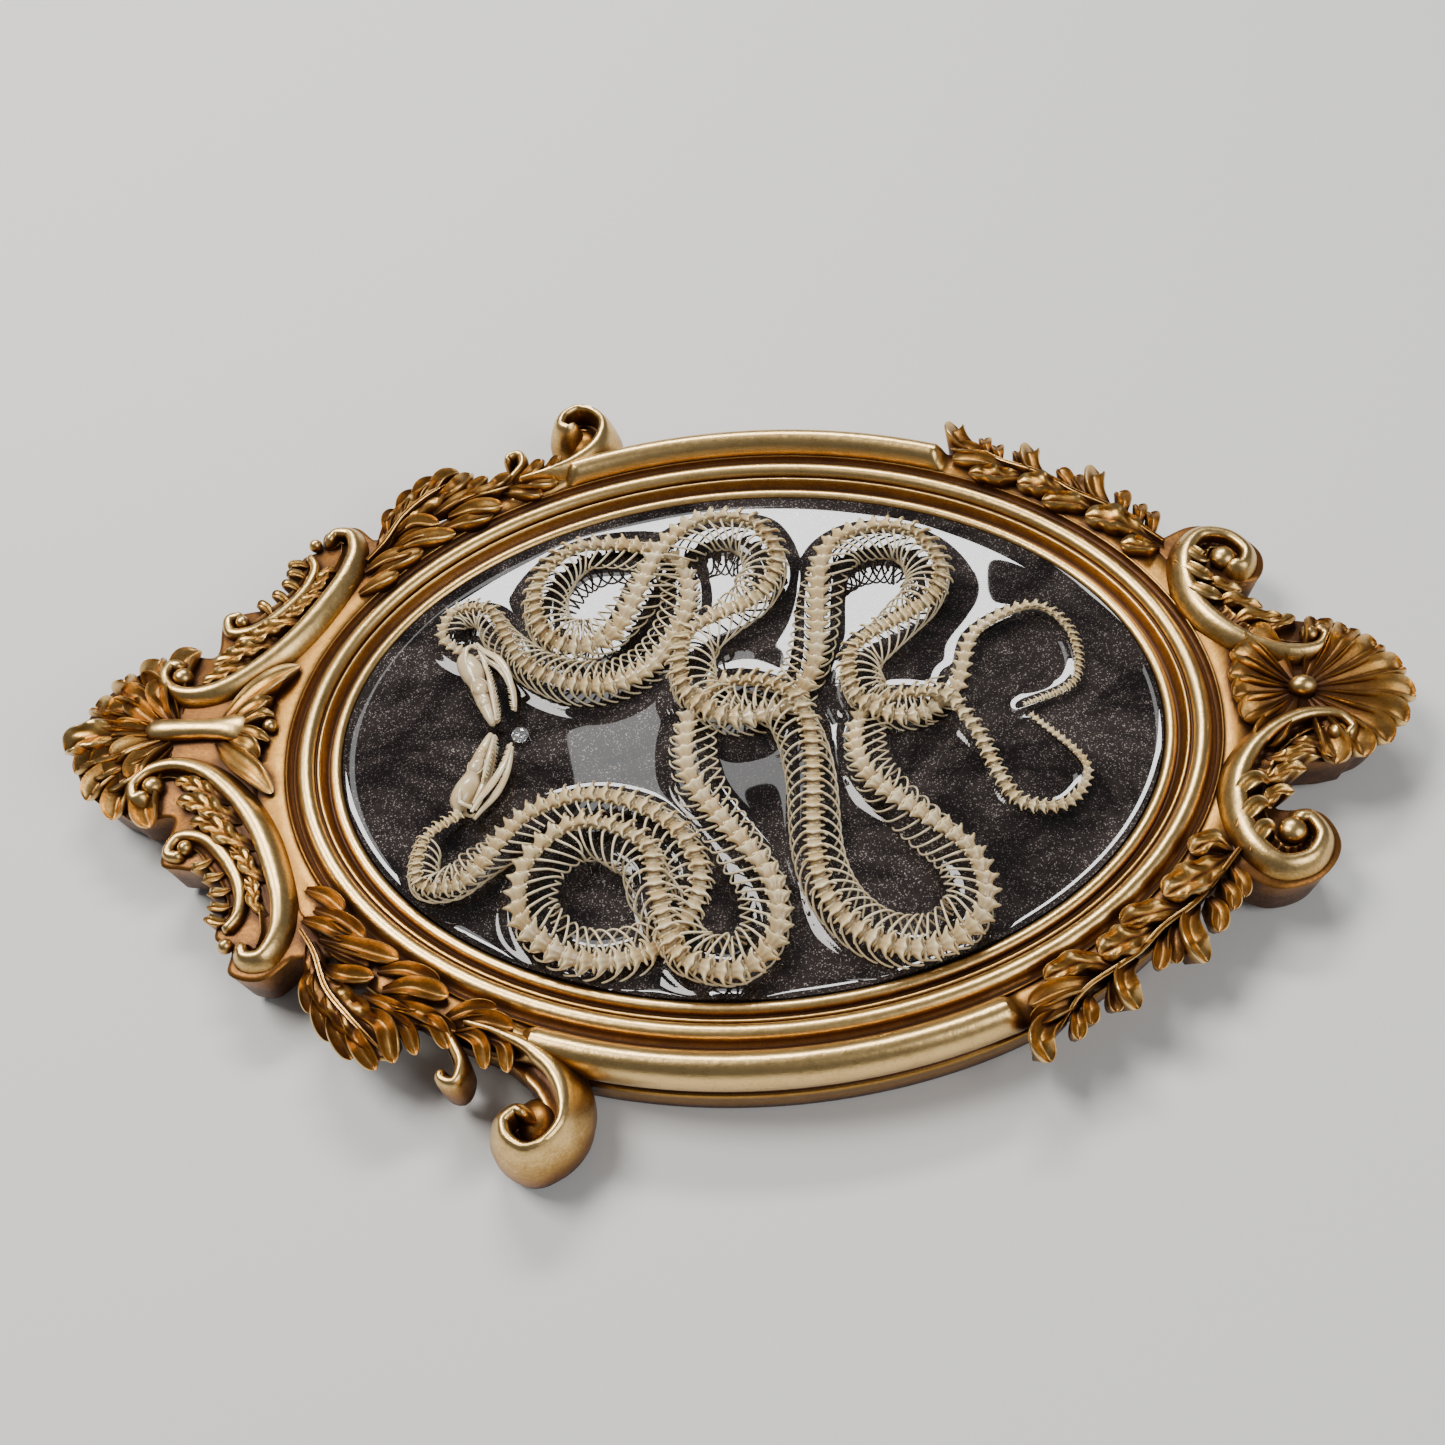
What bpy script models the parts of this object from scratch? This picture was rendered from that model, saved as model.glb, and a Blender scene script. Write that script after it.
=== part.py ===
"""Two small snake skeletons lying in dark resin inside an antique gilded oval frame.

Metres, +Z up. The frame lies on its back: z = 0 is the flat back, +X runs along the oval's
long axis from the leafy crest (-X) to the shell-shaped foot (+X), and the skeletons lie on
top of the resin. The origin is the centre of the back.
"""
import math

import bmesh
import bpy
import numpy as np

MM = 0.001
FIT_GAP = 0.3 * MM                      # between pieces that touch

# ---- frame: the sight opening is an 8 by 6 inch oval --------------------------------------
SIGHT_HALF_LENGTH = 101.6 * MM
SIGHT_HALF_WIDTH = 75.5 * MM
OVAL_SEGMENTS = 36
BOARD_THICKNESS = 3.0 * MM
REBATE_WIDTH = 6.3                      # mm
RESIN_LEVEL = 11.0 * MM                 # top of the resin above the back
TORUS_CREST = 20.2 * MM                 # top of the plain outer moulding
APRON_CREST = 15.6 * MM                 # the same ring where carved ornament lies on it
PLAIN_ANGLES = (66.0, 103.0)            # oval degrees between which the torus shows, top half
PLAIN_BLEND = 6.0                       # degrees over which it sinks to the apron
MOULDING_EDGE = 21.0                    # mm from the sight edge to the outside

# moulding section: (distance outside the sight edge, height above the back), in mm
MOULDING_INNER = ((0.0, 3.3), (0.0, 11.0), (1.9, 12.7), (6.3, 15.5), (9.4, 15.8), (12.1, 14.4))
MOULDING_OUTER = ((MOULDING_EDGE, 15.4), (19.6, 5.5), (20.0, 0.0), (6.3, 0.0), (6.3, 3.3))
TORUS_TOP_OFFSET = 16.0 * MM

# ---- carved ornament, as (x, y) in mm for the upper half; the lower half mirrors it -------
END_TURN = math.radians(-0.8)           # crest and foot sit slightly turned on the oval
BACKING_BASE = 3.0 * MM
BACKING_GAP = 2.2                       # mm, clears the moulding and the ends' turn
BACKING_TOP = APRON_CREST               # backings are flush with the apron
CARVING_BASE = BACKING_TOP + FIT_GAP    # bars and leaves lie on the backings
SCROLL_CREST = 19.6 * MM
SMALL_SCROLL_CREST = 18.2 * MM
CREST_SCROLL = ((-145, 20), (-149.5, 21.5), (-151.5, 17), (-148.5, 12), (-142, 9.8), (-134, 11.5),
                (-125, 18), (-116.5, 28), (-110, 40), (-106, 51), (-105.5, 59), (-108.5, 65),
                (-113.5, 65), (-115.5, 60.5))
CREST_SCROLL_WIDTH = (2.6, 2.4, 3.2, 3.2, 3.0, 1.8)
CREST_SMALL_SCROLL = ((-133.5, 37), (-137.5, 36), (-136, 31.5), (-129.5, 32), (-122.5, 38.5),
                      (-118, 46), (-117, 53), (-119.5, 57.5))
CREST_SMALL_WIDTH = (1.6, 1.9, 2.2, 1.8, 1.4)
CREST_EDGE = ((-150.3, 25), (-146, 25.5), (-139.5, 25), (-139.5, 38), (-134, 39.5), (-124, 42),
              (-121.5, 50), (-122, 58), (-117.5, 61), (-117, 67), (-109, 69), (-103, 64))
CREST_ANGLES = (140.0, 220.0)           # oval degrees along the backing's inner side
CREST_HUB_X = -150.6
CREST_CENTRE = (-146.0, 0.0)
CREST_FAN_RADIUS = 26.0
CREST_FAN_ANGLES = (106.0, 254.0)
CREST_FAN_LOBES = 7
CREST_BAR = ((-149, 0), (-140, 0), (-128, 0), (-123, 0))
CREST_BAR_WIDTH = (2.4, 2.8, 2.9, 3.6)

FOOT_SCROLL = ((122.5, 37), (127.5, 36.5), (130, 42), (126, 48.5), (118.5, 50), (113.5, 45.5),
               (111, 37), (112, 27), (117, 18), (124.5, 11.5), (133, 8.3), (140.5, 9.5),
               (143, 14), (140, 17.5))
FOOT_SCROLL_WIDTH = (2.6, 2.6, 3.2, 3.2, 2.7, 1.6)
FOOT_EDGE = ((142.6, 19.5), (137, 21), (127, 22.5), (121, 33), (131, 35), (133.5, 43), (128, 51),
             (118, 54), (109, 50))
FOOT_ANGLES = (-34.0, 34.0)
FOOT_HUB_X = 143.4
FOOT_CENTRE = (137.0, -2.0)
FOOT_FAN_RADIUS = 22.0
FOOT_FAN_ANGLES = (-68.0, 64.0)
FOOT_FAN_LOBES = 7
SHELL_KNOB = (134.0, -1.0, 3.4)

SIDE_SCROLL = ((-58, 83.5), (-54, 86), (-49.5, 89), (-42.5, 95), (-39.5, 102), (-41.5, 107.5),
               (-47, 109), (-51, 105.5), (-50, 101))
SIDE_SCROLL_WIDTH = (2.0, 3.2, 4.4, 4.2, 2.6)
SIDE_EDGE = ((-37, 96), (-34.3, 103), (-38.5, 111), (-47, 113.5), (-55, 109), (-56, 101),
             (-62, 93))
SIDE_ANGLES = (112.0, 122.0)
# leafy garlands: (start angle, end angle) round the oval in degrees, upper half
GARLAND_LEFT = (125.5, 143.0)
GARLAND_RIGHT = (34.0, 56.5)
GARLAND_LEAVES = 5

# ---- snakes: the line of the neural spines, head to tail, as (x, y, height over resin) -----
LOWER_SNAKE = (
    (-68.5, -25.5, 5), (-76, -33, 6.7), (-76, -45.5, 7.4), (-66.5, -47, 8), (-52, -28, 8.7),
    (-36, -23, 8.2), (-17.5, -31, 6.1), (-10.5, -45, 4.5), (-18.5, -62, 4.5), (-37.5, -67, 7.3),
    (-51.5, -56.5, 8.4), (-51.5, -41, 8.6), (-39.5, -30.5, 8.6), (-23, -37.5, 8.7),
    (-20.5, -51, 9.3), (-15, -68, 9.4), (-2.5, -72, 8.8), (6, -65, 8.7), (6.5, -50.5, 8.4),
    (-14, -17.5, 6.5), (-12.5, 5, 4.6), (-4, 10.5, 6), (9.5, 5.5, 9.2), (15.5, -4.5, 9.2),
    (17, -53, 8.6), (28.5, -66, 8.6), (41, -68, 8.6), (52.5, -59, 8.5), (52, -44.5, 8.3),
    (28.5, -21, 7.4), (27, -4, 4.6), (33, 2.5, 4.9), (48, 0.5, 9.2), (55, -8.5, 7.4),
    (63.5, -29.5, 4.6), (74.5, -30.5, 4), (81, -20.5, 3.5), (69, -3, 2.6))
UPPER_SNAKE = (
    (-72.5, 23, 5), (-78.5, 28.5, 6.4), (-76, 36.5, 7.2), (-67, 36.5, 8), (-55, 15.5, 8.4),
    (-37, 8.5, 7.6), (-23.5, 16.5, 4.7), (-14, 39, 4.2), (-18, 53.5, 4.3), (-43.5, 58.5, 6.6),
    (-53.5, 47.5, 8.4), (-53.5, 29, 8.6), (-44.5, 20.5, 8.6), (-34, 23.5, 8.7), (-21, 54, 9.4),
    (-10, 63.5, 9.3), (3, 62, 8.9), (10, 48.5, 8.8), (5.5, 35, 9.2), (-14, 24.5, 9.7),
    (-15.5, 6, 9.6), (-4.5, -3.5, 8.2), (11, 2, 4.5), (17.5, 11.5, 6.2), (22.5, 51, 8.5),
    (34, 57.5, 8.6), (46, 55, 8.6), (52.5, 41, 8.6), (49, 31, 8.6), (27, 16, 9), (27, 0.5, 9.5),
    (38.5, -5.5, 7.2), (51.5, 3, 4.4), (58.5, 22, 4.6), (75, 29.5, 4.7), (82.5, 21.5, 4.2),
    (81.5, 5, 3.7), (68, -1, 2.6))
ROUTE_STEP = 1.0                        # mm between read-off points

VERTEBRA_PITCH = 7.2                    # mm at mid body in these solids
COMPANION_PITCH = 15.0
LAST_STEP_SHARE = 0.8                   # a stretch shorter than this takes no vertebra
WING_GAP = 0.15                         # mm from the middle plane to each half of the body
LENGTH_GAP = 0.35                       # mm between two lengths of the body
WING_HALF_WIDTH = 2.6                   # mm, across the lateral processes
WAIST_HALF_WIDTH = 1.5
WING_DEPTH = 1.6                        # mm below the ridge
COLUMN_DEPTH = 3.4
WAIST_SHARE = 0.28                      # part of the pitch from waist to wing
CAGE_HALF_WIDTH = 6.2                   # mm at mid body
CAGE_HALF_HEIGHT = 4.6
CAGE_TOP = 2.0                          # mm below the ridge where the ribs leave it
RIB_START = math.radians(25)
RIB_END = math.radians(132)
RIB_SWEEP = 3.4                         # mm that a rib's tip lies behind its vertebra
RIB_RADIUS = 0.42                       # mm, about 0.7 mm through
RIB_MARGIN = 1.0 * MM                   # between a rib's line and the sight edge
RIB_CLEARANCE = 2.0                     # mm between the lines of two ribs inside a bend
RIB_FLOOR = 0.75                        # mm over the resin, the lowest that a rib's line goes
RIB_TEST_STEP = math.radians(5)
RIB_MIDDLE_TURN = math.radians(6)       # the middle ring lies this far past half-way
SHORTEST_RIB = math.radians(50)         # a rib that has to stop earlier is left off
OWN_STRETCH = 14.0                      # mm of body each way that a rib counts as its own
OTHER_STRETCH = 20.0                    # mm along the body from where it counts as another's
NEIGHBOUR_LEAD = 1.3                    # mm that a rib stays nearer to its own column
NEIGHBOUR_CLEARANCE = 3.9               # mm from a rib to the middle of another column
MAX_LEAN = math.radians(42)             # the back leans out of a tight bend
LEAN_RADIUS = 14.0                      # mm
NECK_LENGTH = 70.0                      # mm over which the body reaches full size
NECK_START_SCALE = 0.5
TAIL_LENGTH = 82.0                      # mm without long ribs
TAIL_TIP_SCALE = 0.22
TRUNK_LENGTHS = 5
NECK_START = 1.2                        # mm along the route, clear of the skull
NECK_END = 62.0

# ---- skulls: stations along the axis (share of length, half depth, half width), mm ---------
SKULL_LENGTH = 23.0
SKULL_STATIONS = ((0.0, 1.3, 1.5), (0.1, 2.6, 2.8), (0.28, 3.1, 3.3), (0.42, 2.6, 2.8),
                  (0.56, 2.8, 3.0), (0.72, 2.0, 2.4), (0.88, 1.4, 1.8), (1.0, 0.6, 0.9))
SKULL_SIDES = 8
SKULL_DROOP = 0.8                       # mm that the middle of the skull's axis sinks mouthwards
SKULL_HEIGHT = 3.9                      # mm from the resin to the skull's middle plane
LOWER_SKULL_BACK = (-68.6, -24.2)
LOWER_SKULL_TURN = 81.0                 # degrees from +X to the snout
UPPER_SKULL_BACK = (-72.2, 24.4)
UPPER_SKULL_TURN = -73.0
JAW_LENGTH = 20.5
JAW_RADIUS = 0.6
JAW_TEETH = 8
JAW_TOOTH = 0.7                         # mm
JAW_LIFTS = (("top", 2.4), ("bottom", -2.2))
MAXILLA = ((9.5, 3.5, 0.9), (14, 3.2, 0.8), (18.5, 2.4, 0.5), (21.5, 1.9, 0.3))
MAXILLA_RADIUS = 0.55
MAXILLA_TEETH = 9
MAXILLA_TOOTH = 0.9
BONE_TAPER = 0.35                       # share of its thickness that a toothed bone loses

GEM_CENTRE = (-56.5, -1.6)              # mm, clear stone in front of the jaw tips
GEM_RADIUS = 2.3
GEM_HEIGHT = 2.6
GEM_SIDES = 8

GOLD = (0.62, 0.42, 0.20)
BOARD_BROWN = (0.09, 0.06, 0.045)
RESIN_BLACK = (0.022, 0.018, 0.016)
BONE_CREAM = (0.78, 0.68, 0.50)
CLEAR_STONE = (0.9, 0.93, 0.95)


def clear_scene():
    """Remove every object that a new file may hold."""
    for item in list(bpy.data.objects):
        bpy.data.objects.remove(item, do_unlink=True)


def make_material(name, colour, roughness, metallic=0.0):
    """Return a Principled material."""
    material = bpy.data.materials.new(name)
    material.use_nodes = True
    shader = material.node_tree.nodes["Principled BSDF"]
    shader.inputs["Base Color"].default_value = (*colour, 1.0)
    shader.inputs["Roughness"].default_value = roughness
    shader.inputs["Metallic"].default_value = metallic
    return material


def add_object(name, points, faces, material, smooth=False):
    """Make one closed object from points in metres and faces, facing outwards."""
    mesh = bpy.data.meshes.new(name)
    mesh.from_pydata([tuple(p) for p in points], [], [tuple(f) for f in faces])
    shell = bmesh.new()
    shell.from_mesh(mesh)
    bmesh.ops.recalc_face_normals(shell, faces=shell.faces)
    shell.to_mesh(mesh)
    shell.free()
    if smooth:
        mesh.shade_smooth()
        mesh.set_sharp_from_angle(angle=math.radians(35))
    mesh.materials.append(material)
    item = bpy.data.objects.new(name, mesh)
    bpy.context.scene.collection.objects.link(item)
    return item


# ---- curves ---------------------------------------------------------------------------------
def smooth_curve(points, spacing):
    """Return a centripetal Catmull-Rom curve through the points, read at even spacing."""
    knots = np.array(points, dtype=float)
    padded = np.vstack([2 * knots[0] - knots[1], knots, 2 * knots[-1] - knots[-2]])
    samples = []
    for i in range(1, len(padded) - 2):
        p0, p1, p2, p3 = padded[i - 1:i + 3]
        t1 = math.sqrt(np.linalg.norm(p1 - p0))
        t2 = t1 + math.sqrt(np.linalg.norm(p2 - p1))
        t3 = t2 + math.sqrt(np.linalg.norm(p3 - p2))
        t = np.linspace(t1, t2, 16, endpoint=False)[:, None]
        a1 = (t1 - t) / t1 * p0 + t / t1 * p1
        a2 = (t2 - t) / (t2 - t1) * p1 + (t - t1) / (t2 - t1) * p2
        a3 = (t3 - t) / (t3 - t2) * p2 + (t - t2) / (t3 - t2) * p3
        b1 = (t2 - t) / t2 * a1 + t / t2 * a2
        b2 = (t3 - t) / (t3 - t1) * a2 + (t - t1) / (t3 - t1) * a3
        samples.append((t2 - t) / (t2 - t1) * b1 + (t - t1) / (t2 - t1) * b2)
    samples = np.vstack(samples + [knots[-1:]])
    travelled = np.r_[0, np.cumsum(np.linalg.norm(np.diff(samples, axis=0), axis=1))]
    count = max(2, round(travelled[-1] / spacing) + 1)
    places = np.linspace(0, travelled[-1], count)
    return np.column_stack([np.interp(places, travelled, samples[:, k])
                            for k in range(samples.shape[1])])


def oval_point(angle, offset):
    """Return the point outside the sight oval by an offset, at an ellipse angle."""
    x = SIGHT_HALF_LENGTH * math.cos(angle)
    y = SIGHT_HALF_WIDTH * math.sin(angle)
    normal = np.array([math.cos(angle) / SIGHT_HALF_LENGTH, math.sin(angle) / SIGHT_HALF_WIDTH])
    normal /= np.linalg.norm(normal)
    return x + offset * normal[0], y + offset * normal[1]


# ---- frame ----------------------------------------------------------------------------------
def smooth_step(value, low, high):
    """Return 0 below low, 1 above high and an eased value between."""
    share = min(1.0, max(0.0, (value - low) / (high - low)))
    return share * share * (3 - 2 * share)


def moulding_section(angle):
    """Return the moulding's section in metres; it sinks to an apron under the ornament."""
    degrees = math.degrees(math.acos(math.cos(angle)))
    risen = smooth_step(degrees, PLAIN_ANGLES[0] - PLAIN_BLEND, PLAIN_ANGLES[0])
    risen *= 1.0 - smooth_step(degrees, PLAIN_ANGLES[1], PLAIN_ANGLES[1] + PLAIN_BLEND)
    crest = APRON_CREST + (TORUS_CREST - APRON_CREST) * risen
    top = ((TORUS_TOP_OFFSET, crest), (19.2 * MM, crest - 0.9 * MM * risen))
    inner = [(r * MM, z * MM) for r, z in MOULDING_INNER]
    outer = [(r * MM, z * MM) for r, z in MOULDING_OUTER]
    return inner + list(top) + outer


def build_ring():
    """Return points and faces of the oval moulding with its rebate for the board."""
    points = []
    faces = []
    count = 0
    for i in range(OVAL_SEGMENTS):
        angle = 2 * math.pi * i / OVAL_SEGMENTS
        section = moulding_section(angle)
        count = len(section)
        for offset, height in section:
            points.append((*oval_point(angle, offset), height))
    for i in range(OVAL_SEGMENTS):
        ahead = (i + 1) % OVAL_SEGMENTS
        for k in range(count):
            n = (k + 1) % count
            faces.append((i * count + k, ahead * count + k, ahead * count + n, i * count + n))
    return points, faces


def build_oval_slab(offset, bottom, top):
    """Return points and faces of a flat oval slab."""
    outline = [oval_point(2 * math.pi * i / OVAL_SEGMENTS, offset) for i in range(OVAL_SEGMENTS)]
    return build_prism(outline, bottom, top)


def build_prism(outline, bottom, top):
    """Return points and faces of an upright prism over an outline in metres."""
    count = len(outline)
    points = [(x, y, bottom) for x, y in outline] + [(x, y, top) for x, y in outline]
    faces = [tuple(range(count)), tuple(range(count, 2 * count))]
    for i in range(count):
        n = (i + 1) % count
        faces.append((i, n, count + n, count + i))
    return points, faces


def build_bar(route, widths, crest, spacing=5.5):
    """Return a carved bar: flat underneath, rounded on top, along a route in mm."""
    line = smooth_curve(route, spacing)
    tangents = np.gradient(line, axis=0)
    tangents /= np.linalg.norm(tangents, axis=1)[:, None]
    half = np.interp(np.linspace(0, 1, len(line)), np.linspace(0, 1, len(widths)), widths)
    shoulder = 0.5 * (crest + CARVING_BASE)
    points = []
    for centre, tangent, width in zip(line, tangents, half):
        side = np.array([-tangent[1], tangent[0]])
        for across, height in ((-0.8, CARVING_BASE), (-1.0, shoulder), (0.0, crest),
                               (1.0, shoulder), (0.8, CARVING_BASE)):
            x, y = (centre + side * width * across) * MM
            points.append((x, y, height))
    return points, tube_faces(len(line), 5)


def build_backing(edge, angles):
    """Return a plate between the moulding's outside and an edge, both halves in one."""
    inner = [oval_point(math.radians(angle), (MOULDING_EDGE + BACKING_GAP) * MM)
             for angle in np.linspace(*angles, 9)]
    upper = [(x * MM, y * MM) for x, y in edge]
    lower = [(x, -y) for x, y in reversed(upper)]
    outline = lower + upper if inner[0][0] < 0 else upper[::-1] + lower[::-1]
    return build_prism(inner + outline, BACKING_BASE, BACKING_TOP)


def build_side_backing():
    """Return the plate under a long volute, upper half."""
    inner = [oval_point(math.radians(angle), (MOULDING_EDGE + BACKING_GAP) * MM)
             for angle in np.linspace(SIDE_ANGLES[1], SIDE_ANGLES[0], 4)]
    return build_prism(inner + [(x * MM, y * MM) for x, y in SIDE_EDGE], BACKING_BASE, BACKING_TOP)


def tube_faces(rings, sides):
    """Return the faces of a capped tube made of rings with so many sides."""
    faces = [tuple(range(sides)), tuple(range((rings - 1) * sides, rings * sides))]
    for i in range(rings - 1):
        for k in range(sides):
            n = (k + 1) % sides
            faces.append((i * sides + k, i * sides + n, (i + 1) * sides + n, (i + 1) * sides + k))
    return faces


def build_fan(centre, hub_x, radius, angles, lobes):
    """Return a fan with a straight foot and a lobed rim, as a palmette or a shell has."""
    start, end = (math.radians(a) for a in angles)
    rim = []
    for i in range(2 * lobes + 1):
        angle = start + (end - start) * i / (2 * lobes)
        reach = radius * (1.0 if i % 2 else 0.9)
        height = BACKING_TOP - (0.0 if i % 2 else 2.4 * MM)
        x, y = centre[0] + reach * math.cos(angle), centre[1] + reach * math.sin(angle)
        rim.append((x * MM, y * MM, height))
    feet = [(hub_x * MM, rim[k][1], BACKING_TOP) for k in (-1, 0)]
    hub = (hub_x * MM, centre[1] * MM, BACKING_TOP)
    top = [hub, feet[1]] + rim + [feet[0]]
    count = len(top)
    points = [(x, y, BACKING_BASE) for x, y, _ in top] + top
    faces = [tuple(range(count))]
    for i in range(count):
        n = (i + 1) % count
        faces.append((i, n, count + n, count + i))
    for i in range(1, count - 1):
        faces.append((count, count + i, count + i + 1))
    return points, faces


def build_knob(place):
    """Return a low domed boss."""
    x, y, radius = place
    points = []
    rings = ((1.0, CARVING_BASE), (1.0, SCROLL_CREST - 1.6 * MM), (0.6, SCROLL_CREST + 1.4 * MM))
    for share, height in rings:
        for i in range(8):
            angle = 2 * math.pi * (i + 0.5) / 8
            points.append(((x + radius * share * math.cos(angle)) * MM,
                           (y + radius * share * math.sin(angle)) * MM, height))
    return points, tube_faces(len(rings), 8)


def build_garland(angles):
    """Return a strip of leaves lying over the outer moulding between two oval angles."""
    start, end = (math.radians(a) for a in angles)
    steps = 2 * GARLAND_LEAVES
    base = CARVING_BASE / MM
    points = []
    for i in range(steps + 1):
        angle = start + (end - start) * i / steps
        leaf = (i % 2) * (1.0 if 0 < i < steps else 0.35)
        for offset, height in ((14.2 - leaf, base), (14.6 - leaf, base + 1.6),
                               (18.5, base + 4.4 + leaf), (23.0 + 2.6 * leaf, base + 1.2),
                               (22.4 + 2.4 * leaf, base)):
            x, y = oval_point(angle, offset * MM)
            points.append((x, y, height * MM))
    return points, tube_faces(steps + 1, 5)


def mirrored(shape):
    """Return the shape mirrored to the lower half."""
    points, faces = shape
    return [(x, -y, z) for x, y, z in points], faces


def turned(shape, angle):
    """Return the shape turned about the oval's centre."""
    points, faces = shape
    c, s = math.cos(angle), math.sin(angle)
    return [(c * x - s * y, s * x + c * y, z) for x, y, z in points], faces


def join_solids(name, shapes, material):
    """Join overlapping solids into one body by Boolean unions."""
    body = add_object(name, *shapes[0], material)
    for number, shape in enumerate(shapes[1:]):
        tool = add_object(f"{name}_tool_{number}", *shape, material)
        union = body.modifiers.new("join", "BOOLEAN")
        union.operation = "UNION"
        union.object = tool
        graph = bpy.context.evaluated_depsgraph_get()
        joined = bpy.data.meshes.new_from_object(body.evaluated_get(graph))
        body.modifiers.clear()
        body.data = joined
        bpy.data.objects.remove(tool, do_unlink=True)
    return body


def crest_shapes():
    """Return the solids of the leafy crest at the -X end, by name."""
    scroll = build_bar(CREST_SCROLL, CREST_SCROLL_WIDTH, SCROLL_CREST)
    small = build_bar(CREST_SMALL_SCROLL, CREST_SMALL_WIDTH, SMALL_SCROLL_CREST)
    return {"crest_backing": build_backing(CREST_EDGE, CREST_ANGLES),
            "crest_palmette": build_fan(CREST_CENTRE, CREST_HUB_X, CREST_FAN_RADIUS,
                                        CREST_FAN_ANGLES, CREST_FAN_LOBES),
            "crest_bar": build_bar(CREST_BAR, CREST_BAR_WIDTH, SCROLL_CREST, spacing=9),
            "crest_scroll_upper": scroll, "crest_scroll_lower": mirrored(scroll),
            "crest_small_scroll_upper": small, "crest_small_scroll_lower": mirrored(small)}


def foot_shapes():
    """Return the solids of the shell-shaped foot at the +X end, by name."""
    scroll = build_bar(FOOT_SCROLL, FOOT_SCROLL_WIDTH, SCROLL_CREST)
    return {"foot_backing": build_backing(FOOT_EDGE, FOOT_ANGLES),
            "foot_shell": build_fan(FOOT_CENTRE, FOOT_HUB_X, FOOT_FAN_RADIUS, FOOT_FAN_ANGLES,
                                    FOOT_FAN_LOBES),
            "foot_knob": build_knob(SHELL_KNOB),
            "foot_scroll_upper": scroll, "foot_scroll_lower": mirrored(scroll)}


def side_shapes():
    """Return the garlands and the long volutes beside the oval, by name."""
    halves = {"volute_backing": build_side_backing(),
              "volute": build_bar(SIDE_SCROLL, SIDE_SCROLL_WIDTH, SCROLL_CREST),
              "garland_left": build_garland(GARLAND_LEFT),
              "garland_right": build_garland(GARLAND_RIGHT)}
    shapes = {f"{name}_upper": shape for name, shape in halves.items()}
    shapes.update({f"{name}_lower": mirrored(shape) for name, shape in halves.items()})
    return shapes


def build_frame(gold, board, resin):
    """Build the gilded frame with its ornament, its back board and the resin bed."""
    add_object("moulding", *build_ring(), gold, smooth=True)
    ends = {**crest_shapes(), **foot_shapes()}
    for name, shape in {**ends, **side_shapes()}.items():
        placed = turned(shape, END_TURN) if name in ends else shape
        add_object(name, *placed, gold)
    add_object("back_board", *build_oval_slab((REBATE_WIDTH - 0.3) * MM, 0.0, BOARD_THICKNESS),
               board)
    add_object("resin_bed", *build_oval_slab(-FIT_GAP, BOARD_THICKNESS + FIT_GAP, RESIN_LEVEL),
               resin)


# ---- the body's line ------------------------------------------------------------------------
class BodyLine:
    """The line of the neural spines with the size and the lean of the body along it, in mm."""

    def __init__(self, points):
        self.line = smooth_curve(points, ROUTE_STEP)
        steps = np.linalg.norm(np.diff(self.line, axis=0), axis=1)
        self.places = np.r_[0, np.cumsum(steps)]
        self.length = self.places[-1]
        tangents = np.gradient(self.line, axis=0)
        self.tangents = tangents / np.linalg.norm(tangents, axis=1)[:, None]
        heading = np.unwrap(np.arctan2(tangents[:, 1], tangents[:, 0]))
        bend = np.gradient(heading, self.places)
        window = np.ones(9) / 9
        self.bend = np.convolve(np.pad(bend, 4, mode="edge"), window, mode="valid")
        self.lean = MAX_LEAN * np.tanh(self.bend * LEAN_RADIUS)

    def scale(self, place):
        """Return the body's size at a place, as a share of its size at mid body."""
        grown = NECK_START_SCALE + (1 - NECK_START_SCALE) * smooth_step(place, 0, NECK_LENGTH)
        left = (self.length - place) / TAIL_LENGTH
        thinned = TAIL_TIP_SCALE + (0.85 - TAIL_TIP_SCALE) * min(1.0, max(0.0, left))
        return min(grown, thinned + 0.15 * smooth_step(left, 1.0, 2.4))

    def at(self, place):
        """Return position, tangent, left side and back direction at a place."""
        position = np.array([np.interp(place, self.places, self.line[:, k]) for k in range(3)])
        tangent = np.array([np.interp(place, self.places, self.tangents[:, k]) for k in range(3)])
        tangent /= np.linalg.norm(tangent)
        level_left = np.array([-tangent[1], tangent[0], 0.0])
        level_left /= np.linalg.norm(level_left)
        up = np.cross(tangent, level_left)
        lean = float(np.interp(place, self.places, self.lean))
        back = math.cos(lean) * up - math.sin(lean) * level_left
        left = math.cos(lean) * level_left + math.sin(lean) * up
        return position, tangent, left, back

    def core(self, place):
        """Return the middle of the vertebral column at a place."""
        position, _, _, back = self.at(place)
        return position - back * 0.5 * COLUMN_DEPTH * self.scale(place)

    def cores(self):
        """Return the middle of the column at every read-off point."""
        return np.array([self.core(place) for place in self.places])


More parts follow.
